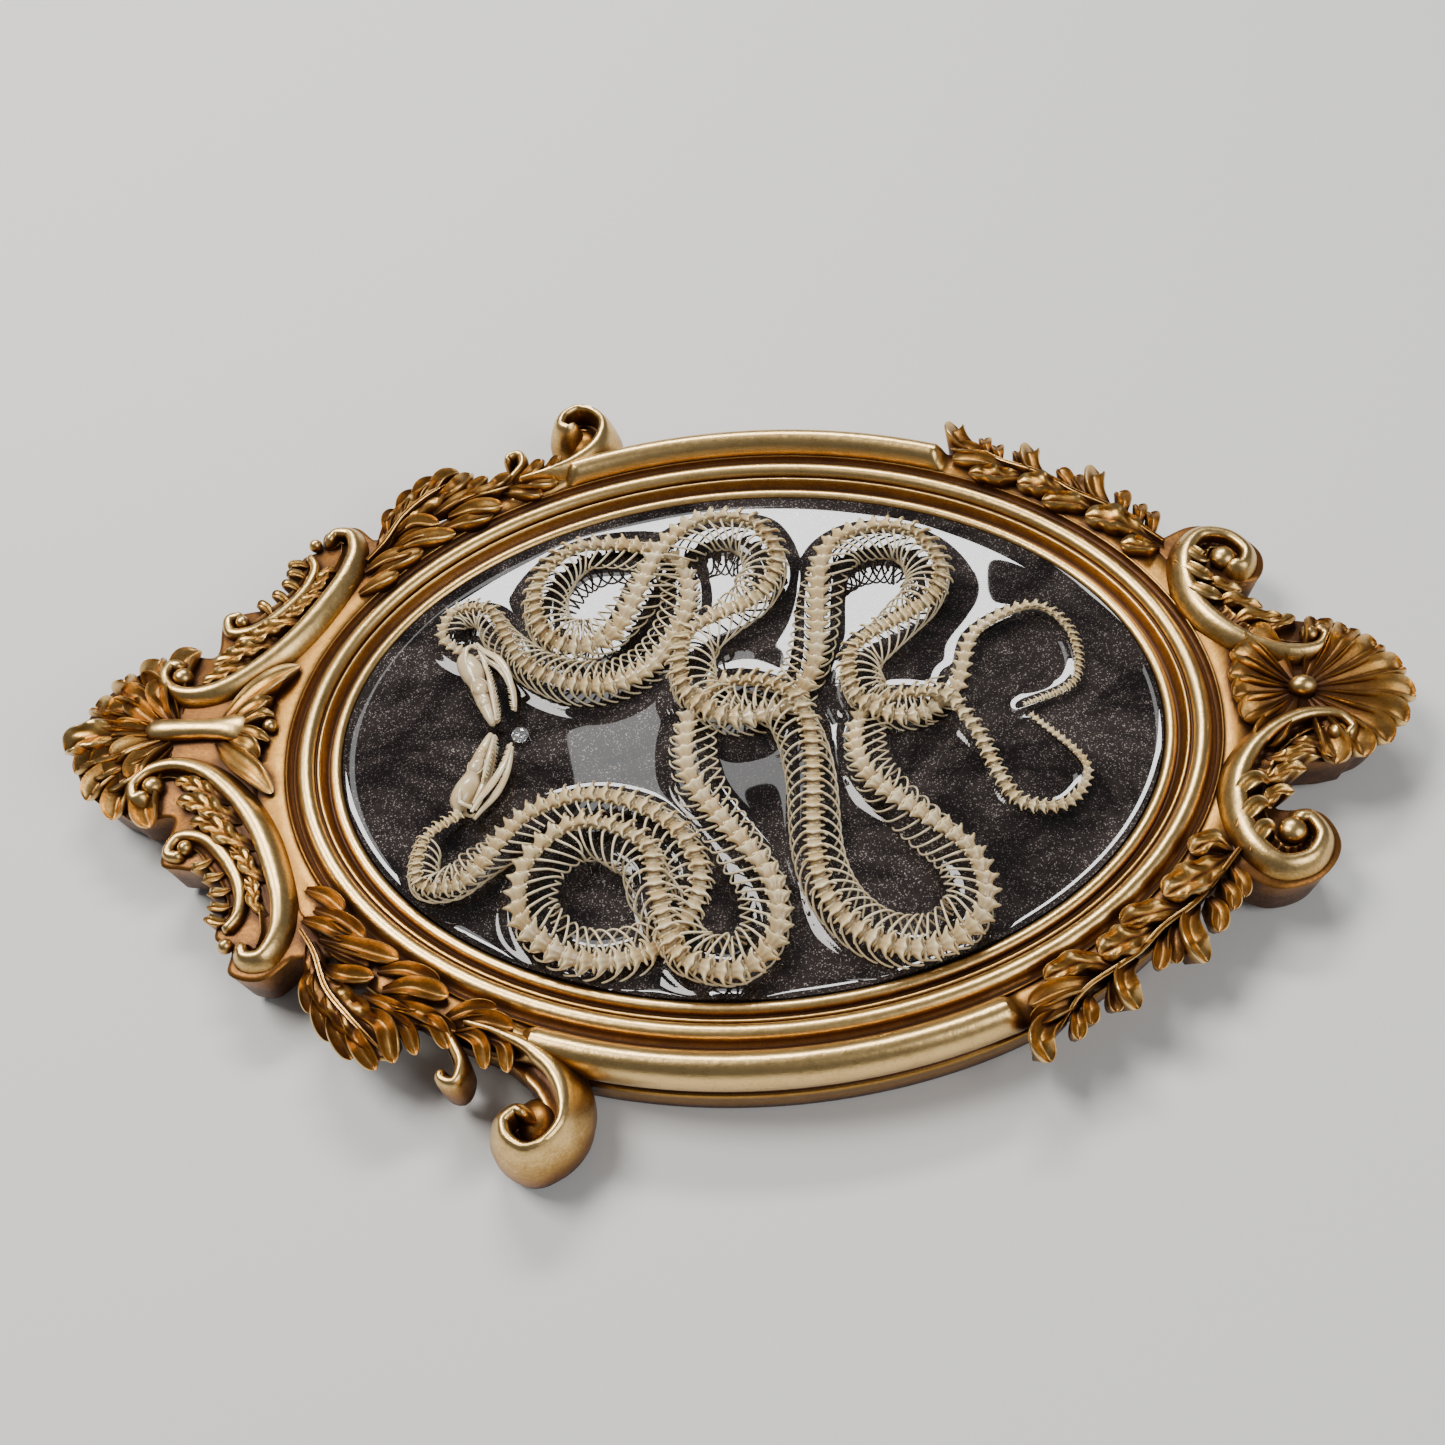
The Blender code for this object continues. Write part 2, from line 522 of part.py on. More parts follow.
class Neighbours:
    """All columns of the mount, so that ribs stop half-way to the next one."""

    def __init__(self, lines):
        self.places = [line.places for line in lines]
        self.cores = [line.cores() for line in lines]

    def has_room(self, own, place, point):
        """Tell whether a point belongs to the body at a place and clears every other one."""
        nearest = np.linalg.norm(self.cores[own] - point, axis=1)
        close = np.abs(self.places[own] - place) < OWN_STRETCH
        to_own = nearest[close].min()
        to_other = min(np.linalg.norm(self.cores[k] - point, axis=1).min()
                       for k in range(len(self.cores)) if k != own)
        far = np.abs(self.places[own] - place) > OTHER_STRETCH
        if far.any():
            to_other = min(to_other, nearest[far].min())
        oval = (point[0] * MM / (SIGHT_HALF_LENGTH - RIB_MARGIN)) ** 2
        oval += (point[1] * MM / (SIGHT_HALF_WIDTH - RIB_MARGIN)) ** 2
        return oval < 1 and to_other > max(to_own + NEIGHBOUR_LEAD, NEIGHBOUR_CLEARANCE)


def rib_point(body, place, side, angle, sweep_share):
    """Return a point on a rib's line, with the directions along the body and out of the cage."""
    scale = body.scale(place)
    there = min(place + RIB_SWEEP * scale * sweep_share, body.length)
    position, tangent, left, back = body.at(there)
    room = max(1.0, position[2] / max(0.5, back[2]) - CAGE_TOP * scale - 0.8)
    half_height = min(CAGE_HALF_HEIGHT * scale, room / (1 - math.cos(RIB_END)) * 1.25)
    across = side * CAGE_HALF_WIDTH * scale * math.sin(angle)
    down = CAGE_TOP * scale + half_height * (1 - math.cos(angle))
    outward = left * side * math.sin(angle) + back * math.cos(angle)
    return position + left * across - back * down, tangent, outward


def rib_rings(body, neighbours, own, place, side, pitch):
    """Return the two outer rings of a rib, or nothing where it has no room."""
    last = RIB_START
    steps = np.arange(RIB_START + 2 * RIB_TEST_STEP, RIB_END, RIB_TEST_STEP)
    inner_radius = 1.0 / max(1e-6, abs(np.interp(place, body.places, body.bend)))
    inside = side * np.interp(place, body.places, body.bend) > 0
    for angle in steps:
        share = (angle - RIB_START) / (RIB_END - RIB_START)
        point, _, _ = rib_point(body, place, side, angle, share)
        reach = np.linalg.norm(point[:2] - body.at(place)[0][:2])
        if point[2] < RIB_FLOOR or not neighbours.has_room(own, place, point):
            break
        if inside and reach > inner_radius * (1 - RIB_CLEARANCE / (pitch * body.scale(place))):
            break
        last = angle
    if last < SHORTEST_RIB:
        return None
    rings = []
    for angle in (0.5 * (RIB_START + last) + RIB_MIDDLE_TURN, last):
        share = (angle - RIB_START) / (RIB_END - RIB_START)
        centre, along, outward = rib_point(body, place, side, angle, share)
        rings.append([centre - along * RIB_RADIUS,
                      centre + along * 0.8 * RIB_RADIUS + outward * RIB_RADIUS,
                      centre + along * 0.8 * RIB_RADIUS - outward * RIB_RADIUS])
    return rings


def vertebra_places(body, start, end, pitch):
    """Return waist and wing places between two points of the body, in turn."""
    places = []
    place = start
    while place + LAST_STEP_SHARE * pitch * body.scale(place) < end:
        step = pitch * body.scale(place)
        places.append((place, False))
        places.append((place + WAIST_SHARE * step, True))
        place += step
    places.append((end, False))
    return places


def build_column(body, neighbours, own, start, end, sides, pitch, ribs=True):
    """Return points and faces of a length of backbone with its ribs.

    sides holds +1 for the left half and -1 for the right half; both make a whole one.
    """
    places = vertebra_places(body, start, end, pitch)
    points = []
    faces = []
    whole = len(sides) == 2
    for place, wing in places:
        position, _, left, back = body.at(place)
        scale = body.scale(place)
        half = (WING_HALF_WIDTH if wing else WAIST_HALF_WIDTH) * scale
        ridge = position - back * (0.0 if wing else 0.5 * scale)
        base = position - back * COLUMN_DEPTH * scale
        middle = 0.0 if whole else WING_GAP
        ring =[ridge + left * sides[0] * middle]
        ring.append(position - back * WING_DEPTH * scale + left * sides[0] * half)
        ring.append(base + left * sides[0] * middle)
        if whole:
            ring.append(position - back * WING_DEPTH * scale + left * sides[1] * half)
        points += ring
    count = 4 if whole else 3
    rings = len(places)
    rib_faces = {(1, 2): sides[0]}
    if whole:
        rib_faces[(2, 3)] = sides[1]
    for i in range(rings - 1):
        for k in range(count):
            n = (k + 1) % count
            near, far = i * count, (i + 1) * count
            side = rib_faces.get((k, n))
            wing_next = places[i + 1][1]
            rib = None
            if side is not None and ribs and wing_next:
                rib = rib_rings(body, neighbours, own, places[i + 1][0], side, pitch)
            if side is None:
                faces.append((near + k, near + n, far + n))
                faces.append((near + k, far + n, far + k))
                continue
            outer, inner = (k, n) if k == 1 else (n, k)
            faces.append((near + outer, far + inner, near + inner))
            root = (near + outer, far + outer, far + inner)
            if rib is None:
                faces.append(root)
                continue
            for ring in rib:
                first = len(points)
                points += ring
                fresh = (first, first + 1, first + 2)
                for a in range(3):
                    b = (a + 1) % 3
                    faces.append((root[a], root[b], fresh[b]))
                    faces.append((root[a], fresh[b], fresh[a]))
                root = fresh
            faces.append(root)
    faces.append(tuple(range(count)))
    faces.append(tuple(range((rings - 1) * count, rings * count)))
    return lifted(points), faces


def lifted(points):
    """Turn points in mm over the resin into metres over the back."""
    return [(p[0] * MM, p[1] * MM, p[2] * MM + RESIN_LEVEL) for p in points]


# ---- skulls ---------------------------------------------------------------------------------
class SkullPlace:
    """Where a skull lies: on its side, its roof towards -X and its mouth towards +X."""

    def __init__(self, back, turn):
        angle = math.radians(turn)
        self.back = np.array([*back, SKULL_HEIGHT])
        self.forward = np.array([math.cos(angle), math.sin(angle), 0.0])
        across = np.array([-self.forward[1], self.forward[0], 0.0])
        self.mouth = across if across[0] > 0 else -across

    def point(self, ahead, down, lift):
        """Return a point ahead of the occiput, down towards the mouth and up off the resin."""
        return self.back + self.forward * ahead + self.mouth * down + np.array([0, 0, lift])


def build_cranium(skull):
    """Return the closed form of the braincase, orbits and snout."""
    points = []
    for share, depth, width in SKULL_STATIONS:
        droop = SKULL_DROOP * (math.sin(math.pi * share) - 1)
        for k in range(SKULL_SIDES):
            angle = 2 * math.pi * (k + 0.5) / SKULL_SIDES
            points.append(skull.point(share * SKULL_LENGTH, droop + depth * math.cos(angle),
                                      width * math.sin(angle)))
    return lifted(points), tube_faces(len(SKULL_STATIONS), SKULL_SIDES)


def build_toothed_bar(line, radius, teeth, tooth_direction, tooth_length):
    """Return a slender bone along a line in mm with a row of teeth on one edge."""
    steps = 2 * teeth
    places = np.linspace(0, 1, len(line))
    points = []
    for i in range(steps + 1):
        share = i / steps
        centre = np.array([np.interp(share, places, [p[k] for p in line]) for k in range(3)])
        size = radius * (1.0 - BONE_TAPER * share)
        tooth = tooth_length if i % 2 and i > 2 else 0.0
        across = np.array([0, 0, 1.0])
        points += [centre + across * size, centre - across * size,
                   centre + tooth_direction * (0.7 * size + tooth)]
    return lifted(points), tube_faces(steps + 1, 3)


def jaw_line(skull, lift, bow, hinge):
    """Return the line of one half of the lower jaw, from its hinge to its tip."""
    return [skull.point(*hinge, lift * 0.7), skull.point(0.3 * JAW_LENGTH, 5.8 + bow, lift * 1.1),
            skull.point(0.65 * JAW_LENGTH, 6.9 + bow, lift), skull.point(JAW_LENGTH, 6.8, lift * 0.4)]


def maxilla_line(skull, sink):
    """Return the line of the toothed upper jaw bone under the cranium."""
    return [skull.point(ahead, down - sink, lift) for ahead, down, lift in MAXILLA]


def skull_shapes(skull, bow, sink, hinge):
    """Return the solids of one skull by name; sink and hinge set how its jaws meet it."""
    shapes = {"cranium": build_cranium(skull),
              "upper_jaw": build_toothed_bar(maxilla_line(skull, sink), MAXILLA_RADIUS,
                                             MAXILLA_TEETH, skull.mouth, MAXILLA_TOOTH)}
    for word, lift in JAW_LIFTS:
        line = jaw_line(skull, lift, bow, hinge)
        shapes[f"lower_jaw_{word}"] = build_toothed_bar(line, JAW_RADIUS, JAW_TEETH,
                                                        -skull.mouth, JAW_TOOTH)
    return shapes


def build_lower_snake(body, neighbours, bone):
    """Build the snake nearer the viewer, divided where its parts are named."""
    skull = skull_shapes(SkullPlace(LOWER_SKULL_BACK, LOWER_SKULL_TURN), 0.0, 0.0, (0.4, 3.6))
    for name, shape in skull.items():
        add_object(f"snake_{name}", *shape, bone)
    tail_start = body.length - TAIL_LENGTH
    cuts = [NECK_START] + list(np.linspace(NECK_END, tail_start, TRUNK_LENGTHS + 1))
    names = ["neck"] + [f"trunk_{k + 1}" for k in range(TRUNK_LENGTHS)]
    for name, start, end in zip(names, cuts, cuts[1:]):
        for side, word in ((1, "left"), (-1, "right")):
            shape = build_column(body, neighbours, 0, start, end - LENGTH_GAP, (side,),
                                 VERTEBRA_PITCH)
            add_object(f"snake_{name}_{word}", *shape, bone)
    tail = build_column(body, neighbours, 0, tail_start, body.length, (1, -1), VERTEBRA_PITCH,
                        ribs=False)
    add_object("snake_tail", *tail, bone)


def build_upper_snake(body, neighbours, bone):
    """Build the plainer second snake as one solid."""
    trunk = build_column(body, neighbours, 1, 0.0, body.length, (1, -1), COMPANION_PITCH)
    skull = skull_shapes(SkullPlace(UPPER_SKULL_BACK, UPPER_SKULL_TURN), 1.5, 1.0, (4.0, 0.6))
    join_solids("companion_snake", [trunk] + list(skull.values()), bone)


def build_gem(stone):
    """Build the faceted clear stone between the jaw tips."""
    base = RESIN_LEVEL / MM + 0.3
    points = []
    for share, height in ((0.35, 0.0), (1.0, 0.55), (0.62, 1.0)):
        for i in range(GEM_SIDES):
            angle = 2 * math.pi * i / GEM_SIDES
            points.append(((GEM_CENTRE[0] + GEM_RADIUS * share * math.cos(angle)) * MM,
                           (GEM_CENTRE[1] + GEM_RADIUS * share * math.sin(angle)) * MM,
                           (base + GEM_HEIGHT * height) * MM))
    add_object("clear_stone", points, tube_faces(3, GEM_SIDES), stone)


def main():
    """Build the whole mount."""
    clear_scene()
    bone = make_material("bone", BONE_CREAM, 0.45)
    build_frame(make_material("antique_gold", GOLD, 0.35, 1.0),
                make_material("back_board", BOARD_BROWN, 0.7),
                make_material("black_resin", RESIN_BLACK, 0.08))
    lower = BodyLine(LOWER_SNAKE)
    upper = BodyLine(UPPER_SNAKE)
    neighbours = Neighbours([lower, upper])
    build_lower_snake(lower, neighbours, bone)
    build_upper_snake(upper, neighbours, bone)
    build_gem(make_material("clear_stone", CLEAR_STONE, 0.02))


main()
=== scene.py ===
"""Looks of the framed snake skeletons: gilded oval frame, dark resin and bare bones.

Lengths in this script are millimetres, measured as in the frame: the origin is the centre of
the oval on the flat back, +X runs from the leafy crest to the shell-shaped foot and +Z out of
the front. Meshes are turned into metres when they are made.
"""
import logging
import math
from dataclasses import dataclass, field
from enum import Enum

import bmesh
import bpy
import numpy as np
from bpy.types import Material, Mesh, Node, NodeSocket, NodeTree, Object
from mathutils import Matrix, Vector


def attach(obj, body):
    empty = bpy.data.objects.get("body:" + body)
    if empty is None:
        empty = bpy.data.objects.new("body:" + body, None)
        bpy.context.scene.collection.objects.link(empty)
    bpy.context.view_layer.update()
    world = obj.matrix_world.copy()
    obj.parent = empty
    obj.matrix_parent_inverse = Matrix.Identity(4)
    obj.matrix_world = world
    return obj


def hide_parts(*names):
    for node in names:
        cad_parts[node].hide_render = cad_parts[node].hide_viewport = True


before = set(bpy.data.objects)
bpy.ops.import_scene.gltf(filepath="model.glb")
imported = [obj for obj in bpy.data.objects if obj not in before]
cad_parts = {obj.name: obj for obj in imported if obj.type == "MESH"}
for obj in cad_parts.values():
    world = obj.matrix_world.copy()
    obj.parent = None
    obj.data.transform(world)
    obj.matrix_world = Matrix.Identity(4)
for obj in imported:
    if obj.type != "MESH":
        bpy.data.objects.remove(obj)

MM = 0.001
LOG = logging.getLogger("snake_mount")

SIGHT_HALF_LENGTH = 101.6               # the oval opening, 8 by 6 inches
SIGHT_HALF_WIDTH = 75.5
RESIN_LEVEL = 11.0
APRON_LEVEL = 15.6                      # top of the flat parts that carry the carving
OPENNESS_RAYS = 6                       # rays that look for crevices from a shading point
CURVE_SAMPLES = 24                      # samples between two points of a smooth curve


class Half(Enum):
    """The halves of the oval, as they lie in the photo."""

    UPPER = "upper"
    LOWER = "lower"


# ---- meshes ---------------------------------------------------------------------------------
class MeshBuilder:
    """Collects tubes of points in mm into one mesh, with a value for how hollow each lies, by
    which the finishes darken, as painted shade and on the gold partly as patina.
    """

    def __init__(self) -> None:
        """Start with no points."""
        self.points: list[np.ndarray] = []
        self.hollow: list[np.ndarray] = []
        self.faces: list[tuple[int, ...]] = []
        self.count = 0

    def add_points(self, points: np.ndarray, hollow: "np.ndarray | float") -> int:
        """Add points.

        Args:
            points: Points in mm, three values each.
            hollow: One value for all, or one each, from 0 on a crest to 1 in a groove.

        Returns:
            The number of the first point.
        """
        flat = np.asarray(points, dtype=float).reshape(-1, 3)
        first = self.count
        self.points.append(flat)
        self.hollow.append(np.broadcast_to(np.asarray(hollow, dtype=float).reshape(-1),
                                           (len(flat),)))
        self.count += len(flat)
        return first

    def add_tube(self, rings: np.ndarray, hollow: "np.ndarray | float" = 0.0,
                 looped: bool = False) -> None:
        """Add a closed tube of rings, capped at its ends unless it is looped.

        Args:
            rings: Points in mm, by ring and by place round the ring.
            hollow: One value for all, or one for each point of the rings.
            looped: Whether the last ring joins the first.
        """
        count, sides = rings.shape[:2]
        first = self.add_points(rings, hollow)
        spans = count if looped else count - 1
        for i in range(spans):
            here = first + i * sides
            there = first + ((i + 1) % count) * sides
            for k in range(sides):
                n = (k + 1) % sides
                self.faces.append((here + k, here + n, there + n, there + k))
        if not looped:
            for start in (first, first + (count - 1) * sides):
                self.faces.append(tuple(range(start, start + sides)))

    def build_object(self, name: str, material: Material,
                     sharp_degrees: float = 45.0) -> Object:
        """Make the object.

        Args:
            name: The object's name.
            material: Its only material.
            sharp_degrees: Edges that turn more than this stay sharp.

        Returns:
            The new object, its faces outwards.
        """
        mesh = bpy.data.meshes.new(name)
        points = np.vstack(self.points) * MM
        mesh.from_pydata(points.tolist(), [], self.faces)
        add_layer(mesh, "hollow", "FLOAT", np.concatenate(self.hollow))
        shell = bmesh.new()
        shell.from_mesh(mesh)
        bmesh.ops.recalc_face_normals(shell, faces=shell.faces)
        shell.to_mesh(mesh)
        shell.free()
        mesh.shade_smooth()
        mesh.set_sharp_from_angle(angle=math.radians(sharp_degrees))
        mesh.materials.append(material)
        return link_object(name, mesh)


def add_layer(mesh: Mesh, name: str, kind: str, values: "np.ndarray | list") -> None:
    """Give a mesh an attribute of its points.

    Args:
        mesh: The mesh.
        name: The attribute's name.
        kind: Blender's name of its data type.
        values: One value or row of values for each point.
    """
    field_name = "vector" if kind == "FLOAT_VECTOR" else "value"
    layer = mesh.attributes.new(name, kind, "POINT")
    layer.data.foreach_set(field_name, np.array(values, dtype=np.float32).ravel())


def link_object(name: str, mesh: Mesh) -> Object:
    """Put a mesh into the scene as an object.

    Args:
        name: The object's name.
        mesh: Its mesh.

    Returns:
        The new object.
    """
    item = bpy.data.objects.new(name, mesh)
    bpy.context.scene.collection.objects.link(item)
    return item


def settle(item: Object, slot: str, *nodes: str) -> Object:
    """Tie a finished piece to the frame.

    Args:
        item: The piece.
        slot: Name of the piece's material slot; not used.
        nodes: The frame's nodes that the piece stands for.

    Returns:
        The same piece.
    """
    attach(item, "root")
    if nodes:
        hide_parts(*nodes)
    LOG.info("%s: %d faces", item.name, len(item.data.polygons))
    return item


def smooth_curve(points: np.ndarray, spacing: float) -> np.ndarray:
    """Read a centripetal Catmull-Rom curve at even spacing.

    Args:
        points: The points that the curve runs through.
        spacing: Distance between the points that are returned.

    Returns:
        Points on the curve.
    """
    knots = np.array(points, dtype=float)
    padded = np.vstack([2 * knots[0] - knots[1], knots, 2 * knots[-1] - knots[-2]])
    samples = []
    for i in range(1, len(padded) - 2):
        p0, p1, p2, p3 = padded[i - 1:i + 3]
        t1 = math.sqrt(np.linalg.norm(p1 - p0))
        t2 = t1 + math.sqrt(np.linalg.norm(p2 - p1))
        t3 = t2 + math.sqrt(np.linalg.norm(p3 - p2))
        t = np.linspace(t1, t2, CURVE_SAMPLES, endpoint=False)[:, None]
        a1 = (t1 - t) / t1 * p0 + t / t1 * p1
        a2 = (t2 - t) / (t2 - t1) * p1 + (t - t1) / (t2 - t1) * p2
        a3 = (t3 - t) / (t3 - t2) * p2 + (t - t2) / (t3 - t2) * p3
        b1 = (t2 - t) / t2 * a1 + t / t2 * a2
        b2 = (t3 - t) / (t3 - t1) * a2 + (t - t1) / (t3 - t1) * a3
        samples.append((t2 - t) / (t2 - t1) * b1 + (t - t1) / (t2 - t1) * b2)
    samples = np.vstack(samples + [knots[-1:]])
    travelled = np.r_[0, np.cumsum(np.linalg.norm(np.diff(samples, axis=0), axis=1))]
    places = np.linspace(0, travelled[-1], max(2, round(travelled[-1] / spacing) + 1))
    return np.column_stack([np.interp(places, travelled, samples[:, k])
                            for k in range(samples.shape[1])])


def smooth_step(value: "np.ndarray | float", low: float, high: float) -> "np.ndarray | float":
    """Ease from 0 below low to 1 above high.

    Args:
        value: One value or an array of them.
        low: Where the result leaves 0.
        high: Where it reaches 1.

    Returns:
        The eased value or values.
    """
    share = np.clip((value - low) / (high - low), 0.0, 1.0)
    return share * share * (3 - 2 * share)


def circle(count: int) -> np.ndarray:
    """Return the angles of evenly spaced points round a circle, in radians."""
    return np.linspace(0, 2 * math.pi, count, endpoint=False)


def ball_rings(centre: tuple, radii: tuple, top: float, rows: int, sides: int) -> np.ndarray:
    """Return the rings of points of an ellipsoid.

    Args:
        centre: Its centre.
        radii: Its three radii.
        top: Latitude of the last ring, in degrees.
        rows: Number of rings.
        sides: Number of points in a ring.

    Returns:
        Points by ring and by place round the ring.
    """
    tilts, turns = np.meshgrid(np.radians(np.linspace(-top, top, rows)), circle(sides),
                               indexing="ij")
    shares = (np.cos(tilts) * np.cos(turns), np.cos(tilts) * np.sin(turns), np.sin(tilts))
    return np.array(centre) + np.array(radii) * np.stack(shares, axis=-1)


def oval_point(angle: "np.ndarray | float", offset: "np.ndarray | float") -> np.ndarray:
    """Return the points outside the sight oval by an offset.

    Args:
        angle: Ellipse angle or angles, in radians.
        offset: Distance outside the sight edge, in mm.

    Returns:
        The x and y of each point in mm, in the last axis.
    """
    cosine, sine = np.cos(angle), np.sin(angle)
    across, along = cosine / SIGHT_HALF_LENGTH, sine / SIGHT_HALF_WIDTH
    length = np.hypot(across, along)
    return np.stack([SIGHT_HALF_LENGTH * cosine + offset * across / length,
                     SIGHT_HALF_WIDTH * sine + offset * along / length], axis=-1)


# ---- node trees -----------------------------------------------------------------------------
def feed(tree: NodeTree, socket: NodeSocket, value: object) -> None:
    """Link an input to another node's output, or set it.

    Args:
        tree: The tree that both are in.
        socket: The input.
        value: A socket or a value.
    """
    if isinstance(value, NodeSocket):
        tree.links.new(value, socket)
    else:
        socket.default_value = value


class ShaderKit:
    """Builds one Principled material from procedural nodes on Object coordinates."""

    def __init__(self, name: str) -> None:
        """Make the material with its shader and its coordinates.

        Args:
            name: The material's name.
        """
        self.material = bpy.data.materials.new(name)
        self.material.use_nodes = True
        self.tree = self.material.node_tree
        self.shader = self.tree.nodes["Principled BSDF"]
        self.place = self.tree.nodes.new("ShaderNodeTexCoord").outputs["Object"]

    def link(self, source: NodeSocket, node: Node, name: str) -> None:
        """Link a socket to the input of that name of a node."""
        self.tree.links.new(source, node.inputs[name])

    def set(self, **values: object) -> None:
        """Feed the shader's own sockets.

        Args:
            values: Socket names, an underscore for a space, with sockets or values.
        """
        for name, value in values.items():
            feed(self.tree, self.shader.inputs[name.replace("_", " ")], value)

    def noise(self, scale: float, detail: float = 3.0, roughness: float = 0.55,
              stretch: "tuple[float, float, float] | None" = None) -> NodeSocket:
        """Add a noise texture.

        Args:
            scale: Cells per metre.
            detail: Number of octaves.
            roughness: Strength of the finer octaves.
            stretch: Scale along each axis, or none.

        Returns:
            The noise value, from 0 to 1.
        """
        node = self.tree.nodes.new("ShaderNodeTexNoise")
        node.inputs["Scale"].default_value = scale
        node.inputs["Detail"].default_value = detail
        node.inputs["Roughness"].default_value = roughness
        place = self.place
        if stretch:
            mapping = self.tree.nodes.new("ShaderNodeMapping")
            mapping.inputs["Scale"].default_value = stretch
            self.link(place, mapping, "Vector")
            place = mapping.outputs["Vector"]
        self.link(place, node, "Vector")
        return node.outputs["Fac"]

    def attribute(self, name: str) -> NodeSocket:
        """Read a mesh attribute.

        Args:
            name: The attribute's name.

        Returns:
            Its value.
        """
        node = self.tree.nodes.new("ShaderNodeAttribute")
        node.attribute_name = name
        return node.outputs["Fac"]

    def openness(self, distance: float) -> NodeSocket:
        """Return how open a point lies to its surroundings.

        Args:
            distance: How far to look, in metres.

        Returns:
            1 in the open and 0 deep in a crevice.
        """
        node = self.tree.nodes.new("ShaderNodeAmbientOcclusion")
        node.samples = OPENNESS_RAYS
        node.inputs["Distance"].default_value = distance
        return node.outputs["AO"]

    def math(self, operation: str, *values: "NodeSocket | float",
             clamp: bool = False) -> NodeSocket:
        """Add a Math node.

        Args:
            operation: Blender's name of the operation.
            values: Sockets or numbers that it works on.
            clamp: Whether the result stays from 0 to 1.

        Returns:
            The result.
        """
        node = self.tree.nodes.new("ShaderNodeMath")
        node.operation = operation
        node.use_clamp = clamp
        for number, value in enumerate(values):
            feed(self.tree, node.inputs[number], value)
        return node.outputs[0]

    def remap(self, value: NodeSocket, low: float, high: float, start: float = 0.0,
              end: float = 1.0) -> NodeSocket:
        """Map a range of values onto another one, smoothly and clamped.

        Args:
            value: The value that is read.
            low: Where the result is start.
            high: Where the result is end.
            start: First result.
            end: Last result.

        Returns:
            The mapped value.
        """
        node = self.tree.nodes.new("ShaderNodeMapRange")
        node.interpolation_type = "SMOOTHSTEP"
        self.link(value, node, "Value")
        for name, number in (("From Min", low), ("From Max", high), ("To Min", start),
                             ("To Max", end)):
            node.inputs[name].default_value = number
        return node.outputs["Result"]

    def ramp(self, value: NodeSocket,
             stops: "tuple[tuple[float, tuple[float, float, float]], ...]"
             ) -> NodeSocket:
        """Colour a value.

        Args:
            value: The value that is read.
            stops: Places from 0 to 1 with their colours.

        Returns:
            The colour.
        """
        node = self.tree.nodes.new("ShaderNodeValToRGB")
        elements = node.color_ramp.elements
        while len(elements) < len(stops):
            elements.new(0.5)
        for element, (place, colour) in zip(elements, stops):
            element.position = place
            element.color = (*colour, 1.0)
        self.link(value, node, "Fac")
        return node.outputs["Color"]

    def mix(self, share: "NodeSocket | float", first: object,
            second: object) -> NodeSocket:
        """Mix two colours.

        Args:
            share: How much of the second one shows.
            first: A colour or a socket.
            second: A colour or a socket.

        Returns:
            The mixed colour.
        """
        node = self.tree.nodes.new("ShaderNodeMix")
        node.data_type = "RGBA"
        for socket, value in zip((node.inputs[0], *node.inputs[6:8]), (share, first, second)):
            feed(self.tree, socket, (*value, 1.0) if isinstance(value, tuple) else value)
        return node.outputs[2]

    def bump(self, height: NodeSocket, distance: float, strength: float = 1.0,
             under: "NodeSocket | None" = None) -> NodeSocket:
        """Add a bump.

        Args:
            height: Height from 0 to 1.
            distance: What height 1 stands for, in metres.
            strength: Share of the bump that shows.
            under: Normal of a coarser bump below it, or none.

        Returns:
            The bumped normal.
        """
        node = self.tree.nodes.new("ShaderNodeBump")
        node.inputs["Strength"].default_value = strength
        node.inputs["Distance"].default_value = distance
        self.link(height, node, "Height")
        if under is not None:
            self.link(under, node, "Normal")
        return node.outputs["Normal"]


